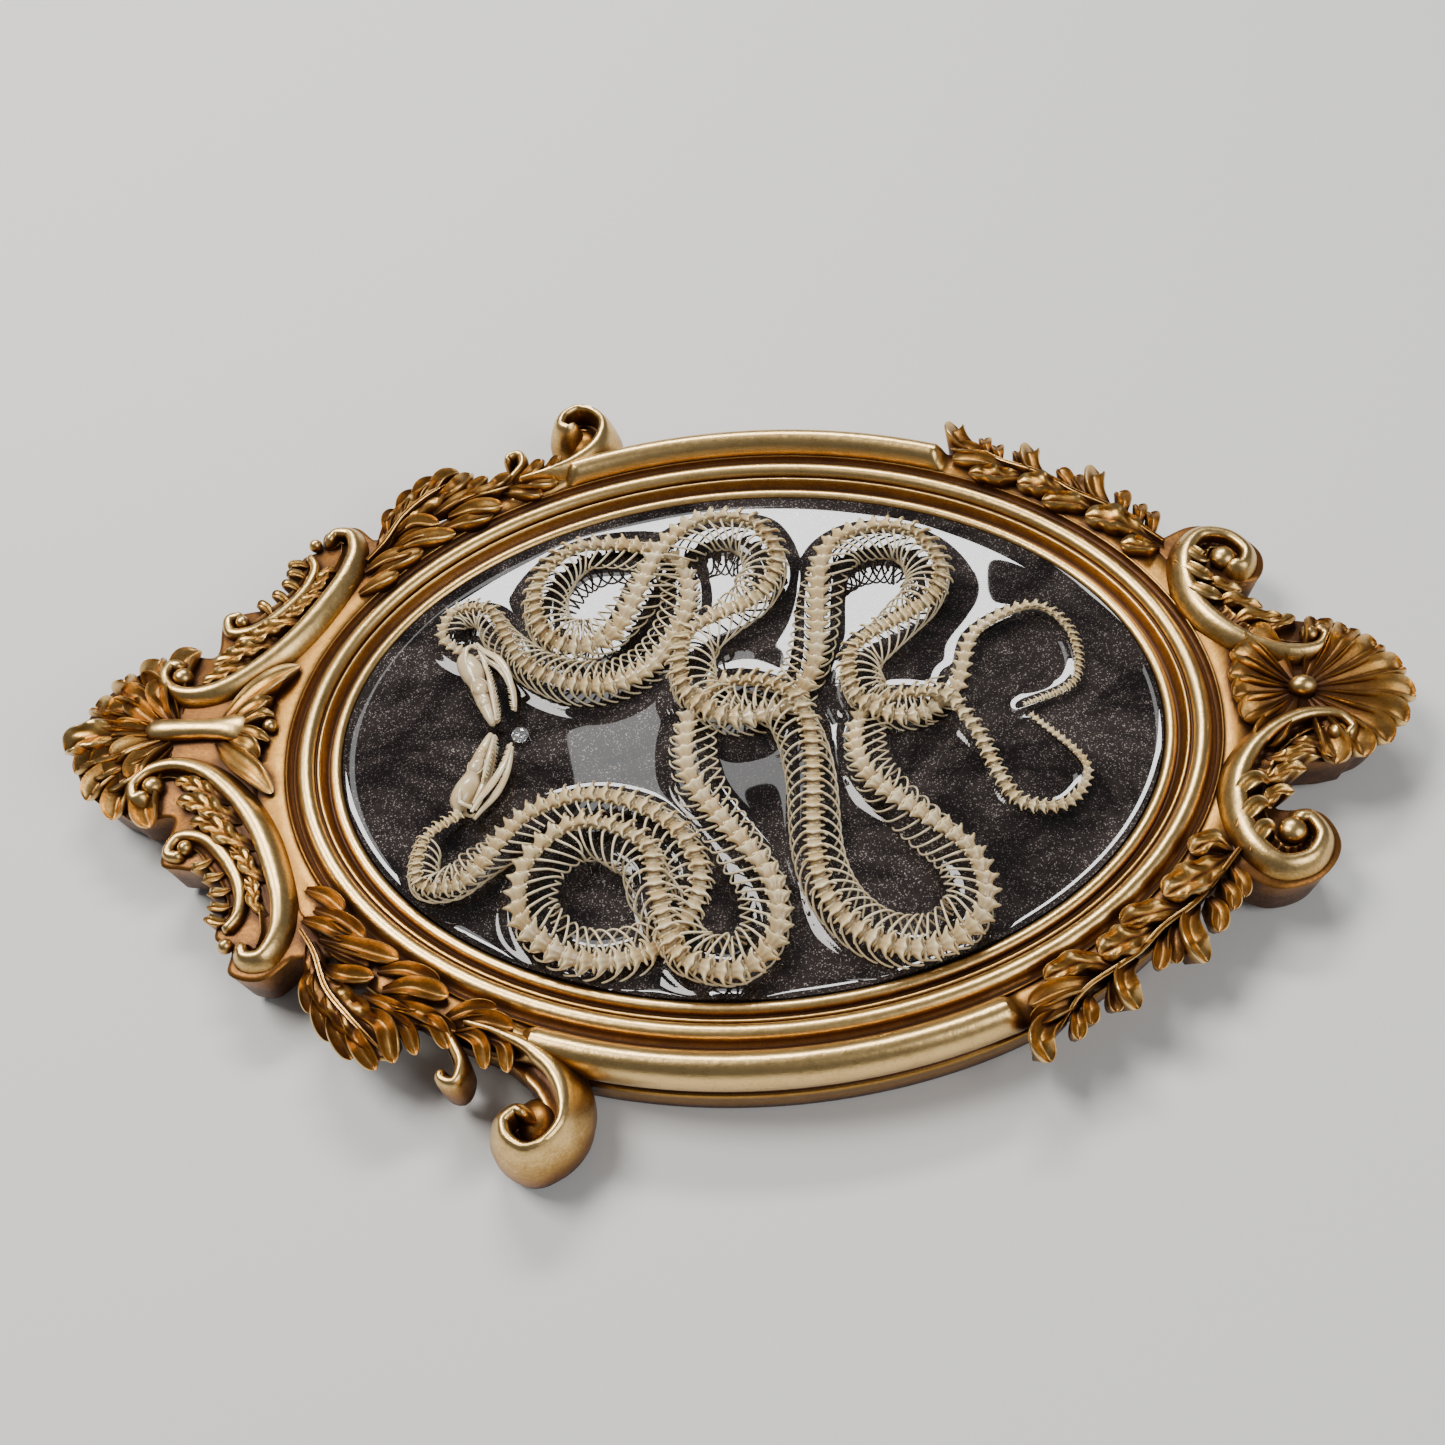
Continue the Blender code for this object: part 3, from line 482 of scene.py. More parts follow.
class GeometryTree:
    """One Geometry Nodes tree with named inputs."""

    def __init__(self, name: str, inputs: "dict[str, str]") -> None:
        """Make the tree with its inputs.

        Args:
            name: The tree's name.
            inputs: Input names with their socket types.
        """
        self.tree = bpy.data.node_groups.new(name, "GeometryNodeTree")
        face = self.tree.interface
        face.new_socket("Geometry", in_out="INPUT", socket_type="NodeSocketGeometry")
        self.names = {}
        for title, kind in inputs.items():
            self.names[title] = face.new_socket(title, in_out="INPUT", socket_type=kind).identifier
        face.new_socket("Geometry", in_out="OUTPUT", socket_type="NodeSocketGeometry")
        self.entry = self.tree.nodes.new("NodeGroupInput")
        self.exit = self.tree.nodes.new("NodeGroupOutput")

    def add(self, kind: str, **links: object) -> Node:
        """Add a node.

        Args:
            kind: Blender's name of the node type.
            links: Input names, an underscore for a space, with sockets or values.

        Returns:
            The node.
        """
        node = self.tree.nodes.new(kind)
        for name, value in links.items():
            feed(self.tree, node.inputs[name.replace("_", " ")], value)
        return node

    def attribute(self, name: str, kind: str) -> NodeSocket:
        """Read a named attribute.

        Args:
            name: The attribute's name.
            kind: Its data type.

        Returns:
            The attribute's value.
        """
        node = self.tree.nodes.new("GeometryNodeInputNamedAttribute")
        node.data_type = kind
        node.inputs["Name"].default_value = name
        return node.outputs["Attribute"]

    def finish(self, geometry: NodeSocket, material: NodeSocket) -> None:
        """End the tree in realized instances with their material.

        Args:
            geometry: What the tree has made.
            material: The material's socket.
        """
        real = self.add("GeometryNodeRealizeInstances", Geometry=geometry)
        dressed = self.add("GeometryNodeSetMaterial", Geometry=real.outputs["Geometry"],
                           Material=material)
        self.tree.links.new(dressed.outputs["Geometry"], self.exit.inputs[0])

    def run(self, name: str, source: Mesh, values: "dict[str, object]",
            sharp_degrees: float = 75.0) -> Object:
        """Grow a plain mesh object from a source mesh.

        Args:
            name: The new object's name.
            source: The mesh that the tree starts from.
            values: Input names with their values.
            sharp_degrees: Edges that turn more than this stay sharp.

        Returns:
            The new object.
        """
        carrier = link_object(f"{name}_carrier", source)
        modifier = carrier.modifiers.new("grow", "NODES")
        modifier.node_group = self.tree
        for title, value in values.items():
            modifier[self.names[title]] = value
        graph = bpy.context.evaluated_depsgraph_get()
        mesh = bpy.data.meshes.new_from_object(carrier.evaluated_get(graph), depsgraph=graph)
        carrier.modifiers.remove(modifier)
        bpy.data.objects.remove(carrier, do_unlink=True)
        mesh.name = name
        mesh.shade_smooth()
        mesh.set_sharp_from_angle(angle=math.radians(sharp_degrees))
        return link_object(name, mesh)


# ---- finishes -------------------------------------------------------------------------------
@dataclass(frozen=True)
class Finish:
    """A procedural finish; each kind adds its own nodes."""

    def build(self, name: str) -> Material:
        """Make the material.

        Args:
            name: The material's name.

        Returns:
            The material.
        """
        kit = ShaderKit(name)
        self.wire(kit)
        return kit.material

    def wire(self, kit: ShaderKit) -> None:
        """Add the finish's nodes."""
        raise NotImplementedError


@dataclass(frozen=True)
class Gilding(Finish):
    """Worn gold leaf: light on the crests, copper in the coves and dark brown in the grooves,
    partly its patina and partly painted shade.
    """

    crest: tuple = (0.83, 0.565, 0.235)
    flat: tuple = (0.46, 0.255, 0.062)
    # copper and dark brown for the coves and grooves: partly patina and partly painted shade
    copper: tuple = (0.33, 0.140, 0.030)
    dark: tuple = (0.070, 0.026, 0.008)
    stops: tuple = (0.0, 0.30, 0.62, 0.97)      # wear and painted shade at which each of the four is pure
    crevice_depth: float = 0.0042       # metres
    crevice_shade: tuple = (0.95, 0.30, 0.0, 0.95)   # openness from, to, and painted shade from, to
    cloud: tuple = (190.0, 5.0, 0.65)   # noises: cells per metre, octaves and roughness
    cloud_wear: tuple = (0.42, -0.21)
    speck: tuple = (1500.0, 3.0, 0.7)
    speck_wear: tuple = (0.50, -0.25)
    metal: tuple = (0.55, 1.0, 1.0, 0.65)       # wear and painted shade from, to, and metallic from, to
    smear: tuple = (700.0, 4.0)
    smear_roughness: tuple = (0.16, 0.23)
    worn_roughness: float = 0.14
    dent: tuple = (420.0, 4.0, 0.6)
    dent_bump: tuple = (0.00016, 0.6)   # bumps: height in metres and strength
    grain: tuple = (2600.0, 2.0)
    grain_bump: tuple = (0.00004, 0.7)

    def wire(self, kit: ShaderKit) -> None:
        """Add the finish's nodes, which read the attribute "hollow" and paint shade into the
        crevices that rays find.

        Args:
            kit: The material's nodes.
        """
        # painted shade: the crevices that rays find and the "hollow" values darken the gold, on
        # top of the wear from the noises
        open_share = kit.openness(self.crevice_depth)
        depth = kit.remap(open_share, *self.crevice_shade)
        cloud = kit.math("MULTIPLY_ADD", kit.noise(*self.cloud), *self.cloud_wear)
        speck = kit.math("MULTIPLY_ADD", kit.noise(*self.speck), *self.speck_wear)
        wear_and_shade = kit.math("ADD", kit.attribute("hollow"), depth)
        wear_and_shade = kit.math("ADD", wear_and_shade, kit.math("ADD", cloud, speck), clamp=True)
        colours = (self.crest, self.flat, self.copper, self.dark)
        colour = kit.ramp(wear_and_shade, tuple(zip(self.stops, colours)))
        kit.set(Base_Color=colour, Metallic=kit.remap(wear_and_shade, *self.metal))
        rough = kit.math("MULTIPLY_ADD", kit.noise(*self.smear), *self.smear_roughness)
        kit.set(Roughness=kit.math("MULTIPLY_ADD", wear_and_shade, self.worn_roughness, rough))
        dents = kit.bump(kit.noise(*self.dent), *self.dent_bump)
        kit.set(Normal=kit.bump(kit.noise(*self.grain), *self.grain_bump, dents))


@dataclass(frozen=True)
class DryBone(Finish):
    """Cleaned bone: cream, tan as painted shade in the hollows and crevices, with small
    differences from bone to bone.
    """

    light: tuple = (0.96, 0.83, 0.53)
    warm: tuple = (0.85, 0.63, 0.30)
    # colour of the painted shade
    tan: tuple = (0.30, 0.155, 0.055)
    crevice_depth: float = 0.0016       # metres
    crevice_shade_tan: tuple = (0.85, 0.15, 0.0, 0.75)    # openness from, to, and painted shade in tan from, to
    stain: tuple = (260.0, 3.0)         # noises: cells per metre and octaves
    stain_share: tuple = (0.35, 0.75, 0.0, 0.55)
    gloss: float = 0.38                 # middle of the roughness
    gloss_spread: float = 0.2
    smear: float = 900.0
    coat: tuple = (0.75, 0.10)          # weight and roughness of the thin shine
    glow: tuple = (0.12, 0.0006)        # weight and depth in metres of the light inside
    pores: tuple = (1800.0, 3.0)
    pore_bump: tuple = (0.00005, 0.5)   # height in metres and strength

    def wire(self, kit: ShaderKit) -> None:
        """Add the finish's nodes, which read the attributes "hollow" and "tint" and paint tan
        shade into the crevices that rays find.

        Args:
            kit: The material's nodes.
        """
        # painted shade: the crevices that rays find and the "hollow" values mix in the tan
        deep = kit.remap(kit.openness(self.crevice_depth), *self.crevice_shade_tan)
        deep = kit.math("ADD", deep, kit.attribute("hollow"), clamp=True)
        base = kit.mix(kit.attribute("tint"), self.light, self.warm)
        stain = kit.remap(kit.noise(*self.stain), *self.stain_share)
        kit.set(Base_Color=kit.mix(deep, kit.mix(stain, base, self.warm), self.tan))
        kit.set(Roughness=kit.math("MULTIPLY_ADD", kit.noise(self.smear), self.gloss_spread,
                                   self.gloss - 0.5 * self.gloss_spread))
        kit.set(Coat_Weight=self.coat[0], Coat_Roughness=self.coat[1],
                Subsurface_Weight=self.glow[0], Subsurface_Scale=self.glow[1])
        kit.set(Normal=kit.bump(kit.noise(*self.pores), *self.pore_bump))


@dataclass(frozen=True)
class GlitterResin(Finish):
    """Poured black-brown resin with swirls of fine pearl flakes under a mirror surface."""

    black: tuple = (0.008, 0.006, 0.006)
    brown: tuple = (0.037, 0.029, 0.027)
    pearl: tuple = (0.60, 0.52, 0.48)
    swirl: tuple = (19.0, 6.0, 0.62, (1.0, 1.5, 1.0))   # cells per metre, octaves, roughness
    distortion: float = 2.2
    patch: tuple = (0.36, 0.66)         # swirl from which the brown and its flakes show, and fully
    flake_scale: float = 4600.0
    lit: tuple = (0.89, 0.985)          # the share of flakes above this catches the light
    flakes: tuple = (0.50, 0.10)        # how much they show in a patch, over how much outside it
    flake_metal: float = 0.9
    mirror: float = 0.015               # roughness of the surface

    def wire(self, kit: ShaderKit) -> None:
        """Add the finish's nodes.

        Args:
            kit: The material's nodes.
        """
        swirl = kit.noise(*self.swirl)
        swirl.node.inputs["Distortion"].default_value = self.distortion
        patch = kit.remap(swirl, *self.patch)
        flakes = kit.tree.nodes.new("ShaderNodeTexVoronoi")
        flakes.inputs["Scale"].default_value = self.flake_scale
        kit.link(kit.place, flakes, "Vector")
        spark = kit.tree.nodes.new("ShaderNodeSeparateColor")
        kit.link(flakes.outputs["Color"], spark, "Color")
        lit = kit.remap(spark.outputs["Red"], *self.lit)
        lit = kit.math("MULTIPLY", lit, kit.math("MULTIPLY_ADD", patch, *self.flakes))
        base = kit.mix(patch, self.black, self.brown)
        kit.set(Base_Color=kit.mix(lit, base, self.pearl),
                Metallic=kit.math("MULTIPLY", lit, self.flake_metal), Roughness=0.55,
                Coat_Weight=1.0, Coat_Roughness=self.mirror, Coat_IOR=1.5,
                Specular_IOR_Level=0.0)


@dataclass(frozen=True)
class CutCrystal(Finish):
    """Clear cut glass."""

    tone: tuple = (0.97, 0.98, 1.0)
    clearness: float = 0.9
    refraction: float = 1.8
    smear: float = 900.0                # cells per metre
    smear_roughness: tuple = (0.4, 0.8, 0.0, 0.03)

    def wire(self, kit: ShaderKit) -> None:
        """Add the finish's nodes.

        Args:
            kit: Nodes of the new material.
        """
        kit.set(Base_Color=(*self.tone, 1.0), Transmission_Weight=self.clearness,
                IOR=self.refraction)
        kit.set(Roughness=kit.remap(kit.noise(self.smear), *self.smear_roughness))


@dataclass(frozen=True)
class StainedBoard(Finish):
    """Dark stained backing board with a faint straight grain."""

    dark: tuple = (0.030, 0.020, 0.014)
    light: tuple = (0.105, 0.068, 0.042)
    grain: tuple = (90.0, 6.0, 0.6, (0.08, 1.0, 1.0))   # cells per metre, octaves, roughness
    grain_share: tuple = (0.3, 0.7)
    grain_bump: tuple = (0.0003, 0.6)   # height in metres and strength
    roughness: float = 0.72

    def wire(self, kit: ShaderKit) -> None:
        """Add the finish's nodes.

        Args:
            kit: The material's nodes.
        """
        grain = kit.noise(*self.grain)
        share = kit.remap(grain, *self.grain_share)
        kit.set(Base_Color=kit.mix(share, self.dark, self.light), Roughness=self.roughness)
        kit.set(Normal=kit.bump(grain, *self.grain_bump))


@dataclass(frozen=True)
class FloorPaper(Finish):
    """Plain pale floor."""

    tone: tuple = (0.78, 0.78, 0.77)
    roughness: float = 0.9

    def wire(self, kit: ShaderKit) -> None:
        """Set the shader."""
        kit.set(Base_Color=(*self.tone, 1.0), Roughness=self.roughness)


# ---- camera and studio ----------------------------------------------------------------------
def aim(azimuth: float, elevation: float) -> Vector:
    """Return the direction of a place, seen from the mount.

    Args:
        azimuth: Degrees to the right of straight below the oval.
        elevation: Degrees above the table.

    Returns:
        The direction, of length 1.
    """
    turn, lift = math.radians(azimuth), math.radians(elevation)
    return Vector((math.sin(turn) * math.cos(lift), -math.cos(turn) * math.cos(lift),
                   math.sin(lift)))


@dataclass(frozen=True)
class PhotoView:
    """The camera that frames the mount as the photo does, solved from the oval sight edge."""

    azimuth: float = 6.05               # degrees to the right of straight below the oval
    elevation: float = 54.34
    roll: float = -7.936
    distance: float = 361.9             # mm from the target
    target: tuple = (-5.82, 0.06, RESIN_LEVEL)
    focal_pixels: float = 1451.0
    frame_pixels: float = 1445.0
    sensor_width: float = 36.0

    def build(self) -> Object:
        """Make the camera and give it to the scene.

        Returns:
            The camera.
        """
        back = aim(self.azimuth, self.elevation)
        right = Vector((0, 0, 1)).cross(back).normalized()
        up = back.cross(right)
        turn = math.radians(self.roll)
        right, up = (math.cos(turn) * right + math.sin(turn) * up,
                     math.cos(turn) * up - math.sin(turn) * right)
        lens = bpy.data.cameras.new("photo_view")
        lens.sensor_width = self.sensor_width
        lens.lens = self.sensor_width * self.focal_pixels / self.frame_pixels
        lens.clip_start = 0.01
        camera = bpy.data.objects.new("photo_view", lens)
        bpy.context.scene.collection.objects.link(camera)
        place = (Vector(self.target) + back * self.distance) * MM
        turned = Matrix((right, up, back)).transposed().to_4x4()
        camera.matrix_world = Matrix.Translation(place) @ turned
        bpy.context.scene.camera = camera
        return camera


@dataclass(frozen=True)
class SoftBox:
    """A rectangular studio light that looks at the middle of the mount."""

    name: str
    azimuth: float                      # degrees from the camera's side, to the right
    elevation: float
    distance: float                     # mm
    size: tuple
    watts: float
    colour: tuple = (1.0, 1.0, 1.0)

    def build(self) -> None:
        """Add the light to the scene."""
        lamp = bpy.data.lights.new(self.name, "AREA")
        lamp.shape = "RECTANGLE"
        lamp.size, lamp.size_y = (side * MM for side in self.size)
        lamp.energy = self.watts
        lamp.color = self.colour
        back = aim(self.azimuth, self.elevation)
        item = bpy.data.objects.new(self.name, lamp)
        bpy.context.scene.collection.objects.link(item)
        item.location = back * self.distance * MM + Vector((0, 0, RESIN_LEVEL * MM))
        item.rotation_euler = back.to_track_quat("Z", "Y").to_euler()


@dataclass(frozen=True)
class Studio:
    """Plain pale floor, soft boxes and a grey surrounding light."""

    floor_half: float = 4000.0
    floor_drop: float = 0.05
    grey: tuple = (0.80, 0.82, 0.86)
    grey_strength: float = 0.14
    lights: tuple = (
        SoftBox("window_light", 184.0, 47.3, 1500.0, (640.0, 190.0), 13.0),
        SoftBox("window_pane", 191.0, 54.5, 1500.0, (260.0, 170.0), 0.6),
        SoftBox("key_light", -112.0, 58.0, 1300.0, (500.0, 500.0), 15.0, (1.0, 0.97, 0.92)),
        SoftBox("fill_light", 58.0, 40.0, 1500.0, (800.0, 800.0), 9.0),
    )

    def build(self) -> None:
        """Add floor, lights and world to the scene."""
        half = self.floor_half * MM
        mesh = bpy.data.meshes.new("floor")
        mesh.from_pydata([(-half, -half, 0), (half, -half, 0), (half, half, 0), (-half, half, 0)],
                         [], [(0, 1, 2, 3)])
        mesh.materials.append(FloorPaper().build("floor_paper"))
        floor = link_object("floor", mesh)
        floor.location.z = -self.floor_drop * MM
        for light in self.lights:
            light.build()
        world = bpy.data.worlds.new("studio_grey")
        world.use_nodes = True
        backdrop = world.node_tree.nodes["Background"]
        backdrop.inputs["Color"].default_value = (*self.grey, 1.0)
        backdrop.inputs["Strength"].default_value = self.grey_strength
        bpy.context.scene.world = world


# ---- frame ----------------------------------------------------------------------------------
def arc(centre: "tuple[float, float]", radii: "tuple[float, float]", start: float, end: float,
        count: int, hollow: float) -> "list[tuple[float, float, float]]":
    """Return points of the moulding's section on an elliptic arc.

    Args:
        centre: Offset and height of the arc's centre, in mm.
        radii: Its radii across and up.
        start: First angle in degrees; 90 is the top.
        end: Last angle.
        count: Number of points.
        hollow: How hollow the points lie.

    Returns:
        Offset, height and hollow value of each point.
    """
    angles = np.radians(np.linspace(start, end, count))
    return [(centre[0] + radii[0] * math.cos(a), centre[1] + radii[1] * math.sin(a), hollow)
            for a in angles]


@dataclass
class Moulding:
    """The oval frame: sight bead, coves, middle bead, raised line, torus and plinth."""

    segments: int = 540
    plain_start: float = 62.0           # oval degrees between which the torus shows
    plain_end: float = 114.0
    blend: float = 2.5
    torus_centre: tuple = (17.2, 14.6)
    torus_radii: tuple = (3.95, 5.6)
    apron_radius: float = 1.1

    def torus_rise(self, angle: float) -> float:
        """Tell how far the torus stands up.

        Args:
            angle: Ellipse angle in radians.

        Returns:
            Its rise, from 0 to 1.
        """
        degrees = math.degrees(math.acos(math.cos(angle)))
        risen = smooth_step(degrees, self.plain_start - self.blend, self.plain_start)
        return risen * (1.0 - smooth_step(degrees, self.plain_end, self.plain_end + self.blend))

    def section(self, angle: float) -> np.ndarray:
        """Return the section at an oval angle.

        Args:
            angle: Ellipse angle in radians.

        Returns:
            Offset, height and hollow value of each point, all round.
        """
        rise = self.torus_rise(angle)
        radius = self.apron_radius + (self.torus_radii[1] - self.apron_radius) * rise
        floor = 0.42 * (1 - rise)
        # the hollow values darken the grooves, the coves and the underside with its plinth: partly
        # patina and partly painted shade
        points = [(0.0, 3.3, 0.8), (0.0, 9.8, 0.9), (0.08, 10.6, 0.9)]
        points += arc((1.75, 11.05), (1.62, 1.6), 172, 12, 13, 0.0)
        points += [(3.42, 11.2, 0.95), (3.62, 11.22, 0.9), (3.9, 11.45, 0.62),
                   (4.3, 11.95, 0.5), (4.7, 12.6, 0.5), (4.98, 13.25, 0.42)]
        points += arc((5.5, 13.45), (0.47, 0.5), 165, 15, 7, 0.12)
        points += [(6.12, 13.5, 0.85), (6.35, 13.6, 0.95)]
        points += arc((8.5, 13.95), (2.1, 2.05), 170, 22, 15, 0.0)
        points += [(10.62, 14.35, 0.40), (10.9, 13.98, 0.46), (11.25, 13.72, 0.48),
                   (11.6, 13.62, 0.52), (11.75, 13.78, 1.0), (11.95, 13.66, 0.90),
                   (12.3, 13.86, 0.5), (12.62, 14.3, 0.48), (12.8, 14.9, 0.45)]
        points += arc((13.02, 15.1), (0.2, 0.28), 170, 10, 5, 0.1)
        points += [(13.3, 15.0, 0.7)]
        centre_height = self.torus_centre[1] * rise + (1 - rise) * (APRON_LEVEL - radius)
        centre = (self.torus_centre[0], centre_height)
        torus = arc(centre, (self.torus_radii[0], radius), 172, -38, 30, floor)
        points += [(x, max(z, 9.4), h) for x, z, h in torus]
        points += [(19.6, 9.2, 0.95), (19.3, 8.7, 1.0), (19.45, 8.2, 0.9)]
        points += arc((19.75, 6.9), (0.55, 1.2), 95, -60, 7, 0.35)
        points += [(19.95, 3.2, 0.45), (19.9, 0.5, 0.6), (19.5, 0.0, 0.9), (6.3, 0.0, 0.9),
                   (6.3, 3.3, 0.9)]
        return np.array(points)

    def build(self, gold: Material) -> None:
        """Make the ring and dress it.

        Args:
            gold: The gilding.
        """
        angles = circle(self.segments)
        sections = np.array([self.section(angle) for angle in angles])
        places = oval_point(angles[:, None], sections[:, :, 0])
        rings = np.concatenate([places, sections[:, :, 1:2]], axis=2)
        builder = MeshBuilder()
        builder.add_tube(rings, sections[:, :, 2], looped=True)
        settle(builder.build_object("gilt_moulding", gold), "antique_gold", "moulding")


@dataclass
class BackBoard:
    """The stained board that closes the frame's back."""

    half_growth: float = 6.0            # past the sight edge, inside the rebate
    thickness: float = 3.0
    edge: float = 0.5
    segments: int = 180

    def build(self, wood: Material) -> None:
        """Make the board and dress it.

        Args:
            wood: The stain.
        """
        angles = circle(self.segments)
        levels = ((self.edge, 0.0), (0.0, self.edge), (0.0, self.thickness - self.edge),
                  (self.edge, self.thickness))
        rings = []
        for inset, height in levels:
            outline = oval_point(angles, self.half_growth - inset)
            rings.append(np.column_stack([outline, np.full(self.segments, height)]))
        builder = MeshBuilder()
        builder.add_tube(np.array(rings))
        settle(builder.build_object("stained_board", wood, 30.0), "back_board", "back_board")


# ---- carving --------------------------------------------------------------------------------
BACKING_FOOT = 13.0                     # height at which the carving is sunk into its backing
CARVING_SHOULDER = 19.6                 # above this height leaves level off
CARVING_REACH = 1.7
END_TURN = math.radians(-0.8)           # crest and foot sit slightly turned on the oval
CREST_SCROLL = ((-145, 20), (-149.5, 21.5), (-151.5, 17), (-148.5, 12), (-142, 9.8), (-134, 11.5),
                (-125, 18), (-116.5, 28), (-110, 40), (-106, 51), (-105.5, 59), (-108.5, 65),
                (-113.5, 65), (-115.5, 60.5))
CREST_SMALL_SCROLL = ((-133.5, 37), (-137.5, 36), (-136, 31.5), (-129.5, 32), (-122.5, 38.5),
                      (-118, 46), (-117, 53), (-119.5, 57.5))
CREST_EDGE = ((-150.3, 25), (-146, 25.5), (-139.5, 25), (-139.5, 38), (-134, 39.5), (-124, 42),
              (-121.5, 50), (-122, 58), (-117.5, 61), (-117, 67), (-109, 69), (-103, 64))
FOOT_SCROLL = ((122.5, 37), (127.5, 36.5), (130, 42), (126, 48.5), (118.5, 50), (113.5, 45.5),
               (111, 37), (112, 27), (117, 18), (124.5, 11.5), (133, 8.3), (140.5, 9.5),
               (143, 14), (140, 17.5))
FOOT_EDGE = ((142.6, 19.5), (137, 21), (127, 22.5), (121, 33), (131, 35), (133.5, 43), (128, 51),
             (118, 54), (109, 50))
SIDE_SCROLL = ((-62, 80.2), (-53.3, 82.7), (-45.4, 85.8), (-39.3, 91.3), (-36.8, 98.3),
               (-37.5, 104.1), (-41.3, 108.7), (-46.9, 110.6), (-52.2, 107.1), (-53, 102.1),
               (-48.9, 99.2), (-45.1, 102.0))
# Rows of leaves in the palmette: count, first direction and step in degrees, swing of the tips,
# distances of base and tip, heights at base, shoulder and tip, and the leaves' sizes.
PALMETTE_ROWS = (
    (9, 108.0, 18.0, 0.2, (6.0, 27.5), (15.4, 17.6, 15.4),
     {"width": 3.5, "cup": 0.22, "groove": 0.34, "valley": 0.42, "base": 0.3, "point": 0.45,
      "shoulder": 0.76, "rings": 34}),
    (8, 117.0, 18.0, -0.25, (4.0, 23.0), (15.8, 18.4, 16.6),
     {"width": 3.0, "cup": 0.3, "groove": 0.3, "valley": 0.4, "base": 0.3, "point": 0.5,
      "shoulder": 0.72, "rings": 34}),
    (5, 136.0, 22.0, 0.5, (3.0, 17.5), (16.4, 19.2, 17.6),
     {"width": 2.9, "cup": 0.3, "groove": 0.3, "valley": 0.4, "base": 0.34, "point": 0.5,
      "shoulder": 0.68, "rings": 30}))


class Carving(MeshBuilder):
    """A piece of carved ornament: scrolls, leaves and balls."""

    def __init__(self, half: Half = Half.UPPER, turn: float = 0.0) -> None:
        """Start a piece.

        Args:
            half: The half of the oval that it is built for.
            turn: Angle in radians that it is turned about the oval's centre.
        """
        super().__init__()
        self.half = half
        self.turn = turn

    def add_points(self, points: np.ndarray, hollow: "np.ndarray | float") -> int:
        """Add points, mirrored and turned as the piece is.

        Args:
            points: Points in mm, three values each.
            hollow: One value for all, or one each.

        Returns:
            The number of the first point.
        """
        flat = np.array(points, dtype=float).reshape(-1, 3)
        if self.half is Half.LOWER:
            flat[:, 1] *= -1
        cosine, sine = math.cos(self.turn), math.sin(self.turn)
        x, y = flat[:, 0].copy(), flat[:, 1].copy()
        flat[:, 0] = cosine * x - sine * y
        flat[:, 1] = sine * x + cosine * y
        return super().add_points(flat, hollow)

    def add_ball(self, centre: tuple, radii: tuple, hollow: float = 0.0) -> None:
        """Add an ellipsoid.

        Args:
            centre: Its centre in mm.
            radii: Its three radii in mm.
            hollow: Its hollow value.
        """
        rings = ball_rings(centre, radii, 86.0, 13, 20)
        # painted shade: the ball darkens towards its underside
        low = np.linspace(0.55, -0.1, len(rings))[:, None]
        self.add_tube(rings, np.clip(hollow + np.broadcast_to(low, rings.shape[:2]), 0, 1))

    def add_leaves(self, leaves: tuple, **shape: object) -> None:
        """Add leaves of one kind.

        Args:
            leaves: For each leaf the points of its spine and then its half width.
            shape: Their other sizes.
        """
        for *spine, width in leaves:
            Leaf(tuple(spine), width, **shape).add_to(self)

    def settle(self, name: str, gold: Material, node: str) -> None:
        """Make the gilded object and let it stand for a node of the frame."""
        settle(self.build_object(name, gold), "antique_gold", node)


